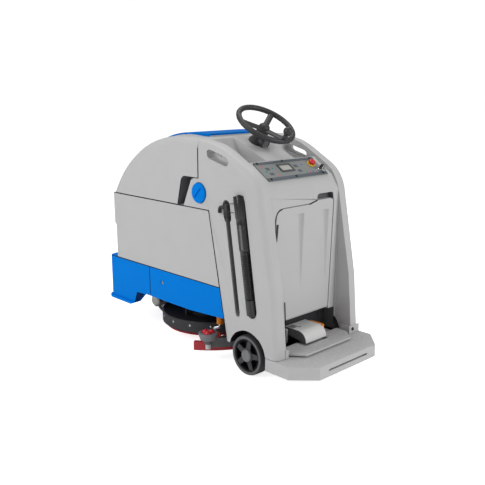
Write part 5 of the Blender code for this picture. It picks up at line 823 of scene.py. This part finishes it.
for number, (colour, x, v) in enumerate(LAMPS):
    lamp_glass = coated(f"lamp_lens_{colour}", colour, 0.2, 1.0, 0.0)
    lamp = turned(f"panel_lamp_{number}", LAMP_RINGS, 16)
    lamp.data.transform(panel @ shift((x, v, PANEL_FACE)))
    fit(lamp, lamp_glass, "panel_film")
collar = turned("stop_collar", [
    (0.023, 0), (0.023, 0.0032), (0.0215, 0.0046), (0.014, 0.0046), (0.0126, 0.004), (0.0126, 0.0002)], 36)
placed(collar, panel @ Vector((*STOP, PANEL_FACE + 0.0003)), panel_out)
fit(collar, yellow_plastic, "yellow_plastic", "estop_collar")
mushroom = turned("stop_mushroom", [
    (0.012, 0.0053), (0.012, 0.0113), (0.018, 0.0113), (0.019, 0.0128), (0.019, 0.0165), (0.0178, 0.02),
    (0.015, 0.0223), (0.01, 0.0231), (0.004, 0.0233)], 36)
placed(mushroom, panel @ Vector((*STOP, PANEL_FACE + 0.0003)), panel_out)
fit(mushroom, red_gloss, "red_plastic", "estop_button", body="stop_button")
switch = turned("key_barrel", [
    (0.013, 0), (0.013, 0.0065), (0.0118, 0.008), (0.0075, 0.008), (0.007, 0.0074), (0.0039, 0.0074)])
placed(switch, panel @ Vector((*KEY, PANEL_FACE + 0.0003)), panel_out)
fit(switch, zinc, "bare_steel", "key_switch")
dress("key", "key_grip", 0.0006, hub_nylon, "black_plastic", body="ignition_key")
spare = turned("spare_key", [(0.0085, 0), (0.0095, 0.0006), (0.0095, 0.0024), (0.0085, 0.003)], 24)
spare.data.transform(panel @ shift((KEY[0] + 0.018, KEY[1] - 0.01, PANEL_FACE + 0.012))
                     @ swing(radians(50), "Y") @ Matrix.Diagonal((1, 1.35, 1, 1)))
fit(spare, hub_nylon, "black_plastic", body="ignition_key")
ring = settle(primitive("key_ring", bpy.ops.mesh.primitive_torus_add, major_segments=40, minor_segments=10,
                        major_radius=KEY_RING_R, minor_radius=0.0014), 60)
for point in ring.data.vertices:
    point.co.z += 0.0016 * copysign(1, point.co.y) * (abs(point.co.x) < KEY_RING_R / 4)
ring.data.transform(panel @ shift((KEY[0] + 0.002, KEY[1] - 0.02, PANEL_FACE + 0.017))
                    @ swing(radians(35), "X"))
fit(ring, zinc, "bare_steel", body="ignition_key")

# Hoses in the left wing: a corrugated drain hose that hangs from its long fluted plug, and a slim level hose.
# Both lie in channels of the wing; a wire clip joins the level hose's fitting to the plug.
DRAIN_X = -0.3218
DRAIN_TOP = (0.0535, 0.895)
DRAIN_FOOT = (-0.0345, 0.324)
PLUG_R = 0.0315
PLUG_LENGTH = 0.276
PLUG_HEAD = 0.012
HOSE_R = 0.0235
HOSE_RIB = 0.0034
HOSE_RIBS = 27
CUFF_LENGTH = 0.079
CUFF_R = 0.0265
LEVEL_X = -0.3178
LEVEL_TOP = (0.1487, 0.8594)
LEVEL_FOOT = (0.0666, 0.311)
LEVEL_R = 0.0125
FITTING_LENGTH = 0.073
CLIP_RUN = ((-0.332, 0.14), (-0.336, 0.115), (-0.334, 0.082))
CLIP_HEIGHTS = ((0.845, 0.862, 0.868), (0.818, 0.822, 0.822))
CLIP_WIRE_R = 0.0016


def fluted(piece, lobes, depth, low, high):
    """Press narrow grooves along a turned piece between two heights, before it is put in place."""
    for point in piece.data.vertices:
        turn = atan2(point.co.y, point.co.x)
        if low < point.co.z < high and cos(lobes * turn) < -0.5:
            point.co.x *= 1 - depth
            point.co.y *= 1 - depth
    return settle(piece)


def bar(name, points, radius):
    """A bent round bar: one point drawn out along a path, then given a skin."""
    made = primitive(name, bpy.ops.mesh.primitive_plane_add, size=0.01)
    bpy.ops.object.mode_set(mode="EDIT")
    bpy.ops.mesh.select_mode(type="VERT")
    bpy.ops.mesh.select_all(action="SELECT")
    bpy.ops.mesh.merge(type="CENTER")
    bpy.ops.mesh.select_all(action="SELECT")
    bpy.ops.transform.translate(value=points[0])
    for here, there in zip(points, points[1:]):
        bpy.ops.mesh.extrude_vertices_move(TRANSFORM_OT_translate={"value": there - here})
    edit_done()
    skin = made.modifiers.new("skin", "SKIN")
    for point in made.data.skin_vertices[0].data:
        point.radius = (radius * 1.2, radius * 1.2)
    rounding = made.modifiers.new("rounding", "SUBSURF")
    rounding.levels = 2
    rounding.render_levels = 2
    for modifier in (skin.name, rounding.name):
        bpy.ops.object.modifier_apply(modifier=modifier)
    return settle(made, 60)


# Hose rubber is black with a greasy half sheen; the fittings are the same black as the hub.
hose_rubber = coated("black_hose_rubber", "1A1A1C", 0.28, 1.5, 0.06, shine=0.8)
drain_start = at(DRAIN_X, *DRAIN_TOP)
drain_run = at(DRAIN_X, *DRAIN_FOOT) - drain_start
cuff_start = drain_run.length - CUFF_LENGTH
plug_rings = [(0.018, -PLUG_HEAD), (0.0298, -PLUG_HEAD), (PLUG_R, -PLUG_HEAD + 0.003), (PLUG_R, 0.094),
              (0.0292, 0.098), (0.0292, 0.128)]
for rib in range(20):
    plug_rings += [(0.0298, 0.13 + rib * 0.0062), (0.0284, 0.1331 + rib * 0.0062)]
plug_rings += [(0.0284, 0.258), (0.0205, 0.264), (0.0205, PLUG_LENGTH)]
plug = fluted(turned("drain_plug_grip", plug_rings, 56), 14, 0.1, -PLUG_HEAD + 0.002, 0.097)
placed(plug, drain_start, drain_run)
fit(plug, hose_rubber, "black_plastic", "drain_plug")
rib_pitch = (cuff_start - PLUG_LENGTH) / HOSE_RIBS
hose_rings = [(HOSE_R - HOSE_RIB, PLUG_LENGTH + 0.0003)]
for rib in range(HOSE_RIBS):
    foot = PLUG_LENGTH + 0.0003 + rib * rib_pitch
    hose_rings += [(HOSE_R - HOSE_RIB, foot + rib_pitch * 0.2), (HOSE_R, foot + rib_pitch * 0.4),
                   (HOSE_R, foot + rib_pitch * 0.7), (HOSE_R - HOSE_RIB, foot + rib_pitch * 0.95)]
hose_end = drain_run.length
hose_rings += [(CUFF_R, cuff_start + 0.002), (CUFF_R, hose_end - 0.002), (CUFF_R - 0.002, hose_end),
               (0.0155, hose_end), (0.0155, hose_end - 0.025)]
hose = turned("ribbed_drain_hose", hose_rings, 32)
placed(hose, drain_start, drain_run)
fit(hose, hose_rubber, "black_rubber", "drain_hose")
level_start = at(LEVEL_X, *LEVEL_TOP)
level_run = at(LEVEL_X, *LEVEL_FOOT) - level_start
level_end = level_run.length
slim = turned("slim_level_hose", [
    (LEVEL_R, FITTING_LENGTH + 0.0003), (LEVEL_R, level_end * 0.5), (LEVEL_R, level_end - 0.034),
    (LEVEL_R + 0.002, level_end - 0.03), (LEVEL_R + 0.002, level_end - 0.004), (LEVEL_R, level_end),
    (0.0085, level_end), (0.0085, level_end - 0.015)], 28)
placed(slim, level_start, level_run)
fit(slim, hose_rubber, "black_rubber", "level_hose")
fitting = turned("level_hose_fitting", [
    (0.008, 0), (0.015, 0.002), (0.0175, 0.008), (0.0175, 0.016), (0.0192, 0.019), (0.0232, 0.044),
    (0.0235, 0.064), (0.0222, 0.067), (0.0138, 0.0675), (0.0138, FITTING_LENGTH)], 40)
placed(fluted(fitting, 10, 0.08, 0.03, 0.066), level_start, level_run)
fit(fitting, hub_nylon, "black_plastic", "hose_fitting")
elbow = bar("level_elbow", [
    at(-0.326, 0.15, 0.838), at(-0.333, 0.172, 0.84), at(-0.334, 0.183, 0.836), at(-0.334, 0.186, 0.824),
    at(-0.334, 0.185, 0.806)], 0.0075)
fit(elbow, hub_nylon, "black_plastic")
clip_wires = [bar("clip_wire", [at(x, y, z) for (x, y), z in zip(CLIP_RUN, heights)], CLIP_WIRE_R)
              for heights in CLIP_HEIGHTS]
fit(joined("hose_clip", clip_wires), black_oxide, "black_painted_steel")

# Seam shade: black strips laid in the seams between the mouldings and along the left wing's edge, as painted
# shade of the gaps. They are pressed into the seams and stand a millimetre proud.
SHADE_STRIP_SINK = 0.001
SHADE_STRIP_R = 0.0021
SEAM_Z = 0.807
WING_TOP = (0.2797, 0.806)
WING_LOW = (0.17, 0.258)
UPRIGHT_Y = 0.359
SEAM_SHADE_RUNS = (
    [(UPRIGHT_Y, z, sunk) for z, sunk in (
        (0.966, 0), (1.04, 0), (1.112, 0), (1.134, 0.0045), (1.15, 0.015), (1.1605, 0.03))],
    [(y, SEAM_Z, 0) for y in (0.282, 0.54, 0.8, 1.086)],
    ((*WING_TOP, 0), (0.225, 0.533, 0), (*WING_LOW, 0)),
    [(y, SKIRT_TOP_Z, 0) for y in (0.203, 0.48, 0.78, 1.15)],
    ((0.8, SKIRT_TOP_Z - 0.003, 0), (0.8, 0.32, 0), (0.8, 0.242, 0)))
EDGE_SHADE_RUN = ((-0.2545, -0.1885, 0.413), (-0.252, -0.189, 0.35), (-0.249, -0.189, 0.297))
strips = [bar("seam_shade_strip", [at(side * (SIDE_X - SHADE_STRIP_SINK - sunk), y, z) for y, z, sunk in run], SHADE_STRIP_R)
          for side in (-1, 1) for run in SEAM_SHADE_RUNS]
fit(joined("seam_shade_strips", strips), black_painted_shade, "black_rubber")
wing_shade_strip = bar("wing_edge_shade_strip", [at(*place) for place in EDGE_SHADE_RUN], 0.0026)
fit(wing_shade_strip, black_painted_shade, "black_rubber")

# The drive unit: a steered steel fork with a rubber-tyred drive wheel and its hub motor.
# Its kingpin turns in a bearing bolted under the front of the frame.
cast_aluminium = coated("die_cast_aluminium", "B9B7B0", 0.42, 1.5, 0.12, metallic=1.0)
bearing_low, bearing_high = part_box("steering_bearing")
bearing_middle = (bearing_low + bearing_high) / 2
fork = slimmed(cad_copy("drive_fork", "steered_fork", 0.0015),
               shift((bearing_middle.x, bearing_middle.y, bearing_low.z)), -0.0005,
               (bearing_high.x - bearing_low.x) / 2)
fit(fork, powder_coat, "black_painted_steel", "drive_fork", body="drive_unit")
drive_tyre = tyre_ring("drive_tyre_ring", "drive_tyre", "drive_hub")
# As on the rear tyres, the walls are painted the lighter grey as painted light.
paint(drive_tyre, (tyre_wall_painted_light, tyre_tread), lambda face: abs(face.normal.x) < TREAD_TURN)
fit(drive_tyre, tyre_tread, "tyre_rubber", "drive_tyre", body="drive_wheel")
dress("drive_hub", "drive_hub_casting", 0.001, cast_aluminium, "cast_aluminium", body="drive_wheel")
dress("drive_motor", "traction_motor", 0.001, cast_aluminium, "cast_aluminium", body="drive_unit")
dress("steering_bearing", "kingpin_bearing", 0.001, turned_steel, "bare_steel")

# The brush deck: a black housing on guide rods, a rubber splash skirt riveted to it, the motor and the lift.
# Under it turns the disc brush: nylon tufts drilled into a moulded backing, ring by ring.
DECK_Y = 0.635
DECK_R = 0.29
SKIRT_RIVETS = 15
RIVET_Z = 0.113
SKIRT_RISE = 0.008
BRUSH_R = 0.255
TUFT_RINGS = 12
TUFT_PITCH = 0.0168
TUFT_FIRST_R = 0.06
TUFT_TOP_Z = 0.103
TUFT_LOW_Z = 0.0522
TUFT_LEAN = 0.5
# Splash rubber is dull with a slight bloom; the bristles are dyed through and shine along their sides.
skirt_rubber = coated("black_skirt_rubber", "333335", 0.6, 3.0, 0.25)
bristle_red = coated("red_nylon_bristle", "C8202E", 0.45, 2.0, 0.1)
dress("deck_housing", "deck_casting", 0.001, hub_nylon, "black_plastic", body="deck")
splash = cad_copy("deck_skirt", "splash_skirt", 0.001)
skirt_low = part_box("deck_skirt")[0].z
for point in splash.data.vertices:
    point.co.z += SKIRT_RISE * (point.co.z < skirt_low + 0.003)
fit(splash, skirt_rubber, "black_rubber", "deck_skirt", body="deck")
rivet = turned("skirt_rivet", [(0.0065, -0.001), (0.0065, 0.0008), (0.005, 0.0024), (0.002, 0.0031)], 12)
rivets = copies("skirt_rivets", rivet, [
    shift(at(0, DECK_Y, RIVET_Z)) @ swing(2 * pi * (index + 0.5) / SKIRT_RIVETS, "Z")
    @ shift((DECK_R - 0.0008, 0, 0)) @ swing(pi / 2, "Y")
    for index in range(SKIRT_RIVETS)])
fit(rivets, zinc, "bare_steel", body="deck")
dress("brush_motor", "brush_motor_can", 0.001, powder_coat, "black_plastic", body="deck")
dress("deck_lift_rod", "lift_rod", 0, turned_steel, "bare_steel", body="deck")
dress("deck_lift_actuator", "lift_actuator", 0.001, hub_nylon, "black_plastic")
tuft_length = TUFT_TOP_Z - TUFT_LOW_Z
tuft = turned("tuft", [(0.0038, 0), (0.0044, tuft_length * 0.55), (0.0056, tuft_length)], 6)
tuft_places = []
for ring in range(TUFT_RINGS):
    ring_r = TUFT_FIRST_R + (BRUSH_R - 0.008 - TUFT_FIRST_R) * ring / (TUFT_RINGS - 1)
    count = round(2 * pi * ring_r / TUFT_PITCH)
    for index in range(count):
        tuft_places.append(
            shift(at(0, DECK_Y, TUFT_TOP_Z))
            @ swing(2 * pi * (index + 0.5 * (ring % 2)) / count, "Z")
            @ shift((ring_r, 0, 0)) @ swing(-TUFT_LEAN * (ring // (TUFT_RINGS - 1)), "Y")
            @ swing(pi, "X"))
tufts = copies("brush_tufts", tuft, tuft_places)
backing = turned("brush_backing", [
    (0.045, 0.102), (BRUSH_R - 0.002, 0.102), (BRUSH_R, 0.104), (BRUSH_R, 0.1105), (BRUSH_R - 0.002, 0.112),
    (0.018, 0.112), (0.018, 0.175), (0.017, 0.176)], 72)
inner_tufts = turned("inner_tufts", [
    (0.06, TUFT_TOP_Z), (BRUSH_R - 0.01, TUFT_TOP_Z), (BRUSH_R + 0.014, TUFT_LOW_Z + 0.002),
    (BRUSH_R - 0.02, TUFT_LOW_Z + 0.001), (0.06, TUFT_LOW_Z + 0.001)], 72)
for part in (backing, inner_tufts):
    placed(part, at(0, DECK_Y, 0))
fit(joined("disc_brush", [backing, inner_tufts, tufts]), bristle_red, "red_bristle", "brush", body="disc")

# The squeegee: a curved dark beam on a sliding post, two red polyurethane blades and two guard rollers.
# Knurled thumb screws clamp the blades; each roller turns on a pin over a light foot.
ARC_R = 0.473
ARC_Y = 0.613
BEAM_TOP_Z = 0.13
THUMB_SCREWS_DEG = (-33.0, -22.0, -11.0, 18.0, 26.0, 33.0)
RELEASE_DEG = (-39.5, 39.5)
GUARD_DEG = 45.0
GUARD_OUT = 0.037
GUARD_FOOT_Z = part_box("left_guard_roller")[0].z
LOBES_DEG = (100.0, 220.0, 340.0)


def on_arc(degrees, radius, z):
    """A place over the squeegee's arc, counted from straight back."""
    angle = radians(degrees)
    return at(radius * sin(angle), ARC_Y - radius * cos(angle), z)


# Cast polyurethane is a deep, slightly glossy red; the feet of the rollers are pale acetal.
blade_red = coated("red_polyurethane_blade", "B42A35", 0.45, 2.0, 0.05)
foot_acetal = coated("moulded_pale_acetal", "C4C6C4", 0.4, 1.5, 0.05)
guard_grey = coated("moulded_guard_plastic", "77787A", 0.48)
beam = cad_copy("squeegee_beam", "curved_beam", 0.0015)
guard_places = [on_arc(side * GUARD_DEG, ARC_R + GUARD_OUT, 0) for side in (-1, 1)]
paint(beam, (dark_grey_and_painted_shade, foot_acetal), lambda face: int(face.center.z < GUARD_FOOT_Z and min(
    (face.center.xy - place.xy).length for place in guard_places) < 0.019))
fit(beam, dark_grey_and_painted_shade, "dark_grey_plastic", "squeegee_beam", body="squeegee")
dress("front_blade", "front_squeegee_blade", 0.0006, blade_red, "red_rubber", body="squeegee")
dress("rear_blade", "rear_squeegee_blade", 0.0006, blade_red, "red_rubber", body="squeegee")
thumb = turned("thumb_screw", [
    (0.007, -0.001), (0.007, 0.003), (0.0095, 0.004), (0.0095, 0.013), (0.008, 0.015), (0.003, 0.0155)])
thumbs = copies("thumb_screws", fluted(thumb, 8, 0.12, 0.0035, 0.014), [
    shift(on_arc(degrees, ARC_R, BEAM_TOP_Z)) for degrees in THUMB_SCREWS_DEG])
fit(thumbs, hub_nylon, "black_plastic", body="squeegee")
release = turned("release_knob", [
    (0.012, -0.001), (0.012, 0.004), (0.02, 0.006), (0.02, 0.018), (0.017, 0.021), (0.006, 0.0215)], 40)
releases = copies("release_knobs", fluted(release, 10, 0.12, 0.005, 0.019), [
    shift(on_arc(degrees, ARC_R, BEAM_TOP_Z)) for degrees in RELEASE_DEG])
fit(releases, red_gloss, "red_plastic", body="squeegee")
for side, place in zip(("left", "right"), guard_places):
    foot_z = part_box(f"{side}_guard_roller")[0].z
    roller = turned(f"{side}_guard_ring", [
        (0.0085, 0), (0.038, 0), (0.041, 0.002), (0.045, 0.014), (0.049, 0.026), (0.05, 0.03),
        (0.05, 0.036), (0.048, 0.0395), (0.044, 0.04), (0.04, 0.04), (0.039, 0.036), (0.004, 0.036)], 44)
    lobe = turned("hub_lobe", [(0.0185, 0.0345)] + ball_rings(0.0185, 0.0345, 10, 86, 5), 20)
    hub = copies(f"{side}_guard_hub", lobe, [
        swing(radians(turn), "Z") @ shift((0.0185, 0, 0)) for turn in LOBES_DEG])
    for part in (roller, hub):
        placed(part, Vector((place.x, place.y, foot_z)))
    fit(roller, guard_grey, "dark_grey_plastic", f"{side}_guard_roller", body=f"{side}_guard")
    fit(hub, red_gloss, "red_plastic", body=f"{side}_guard")

# Inside the tub: two batteries, the vacuum motor and the drive controller, all out of sight.
# Under the left rail hangs the water valve: an orange ribbed body with a plated elbow.
VALVE = (-0.22, 0.312)
VALVE_R = 0.02
ELBOW = ((0, 0, 0.004), (0, 0, -0.012), (-0.004, 0.006, -0.02), (-0.014, 0.026, -0.026),
         (-0.018, 0.036, -0.036))
ELBOW_R = 0.0085
for source, look in (("left_battery", hub_nylon), ("right_battery", hub_nylon), ("vacuum_motor", hub_nylon),
                     ("drive_controller", cast_aluminium)):
    frame["nodes"][source].material_slots[0].material = look
valve_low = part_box("solution_valve")[0].z
valve_orange = coated("moulded_signal_orange_acetal", "FF9416", 0.38, 1.5, 0.06)
dress("solution_valve", "water_valve", 0.002, valve_orange, "orange_plastic")
valve_bands = copies("valve_bands", turned("valve_band", [
    (VALVE_R - 0.001, 0), (VALVE_R + 0.002, 0.001), (VALVE_R + 0.002, 0.004), (VALVE_R - 0.001, 0.005)]), [
    shift(at(*VALVE, valve_low + rise)) for rise in (0.004, 0.02, 0.036)])
fit(valve_bands, valve_orange, "orange_plastic")
drain_elbow = bar("valve_elbow", [at(*VALVE, valve_low) + Vector(bend) for bend in ELBOW], ELBOW_R)
fit(drain_elbow, zinc, "bare_steel")
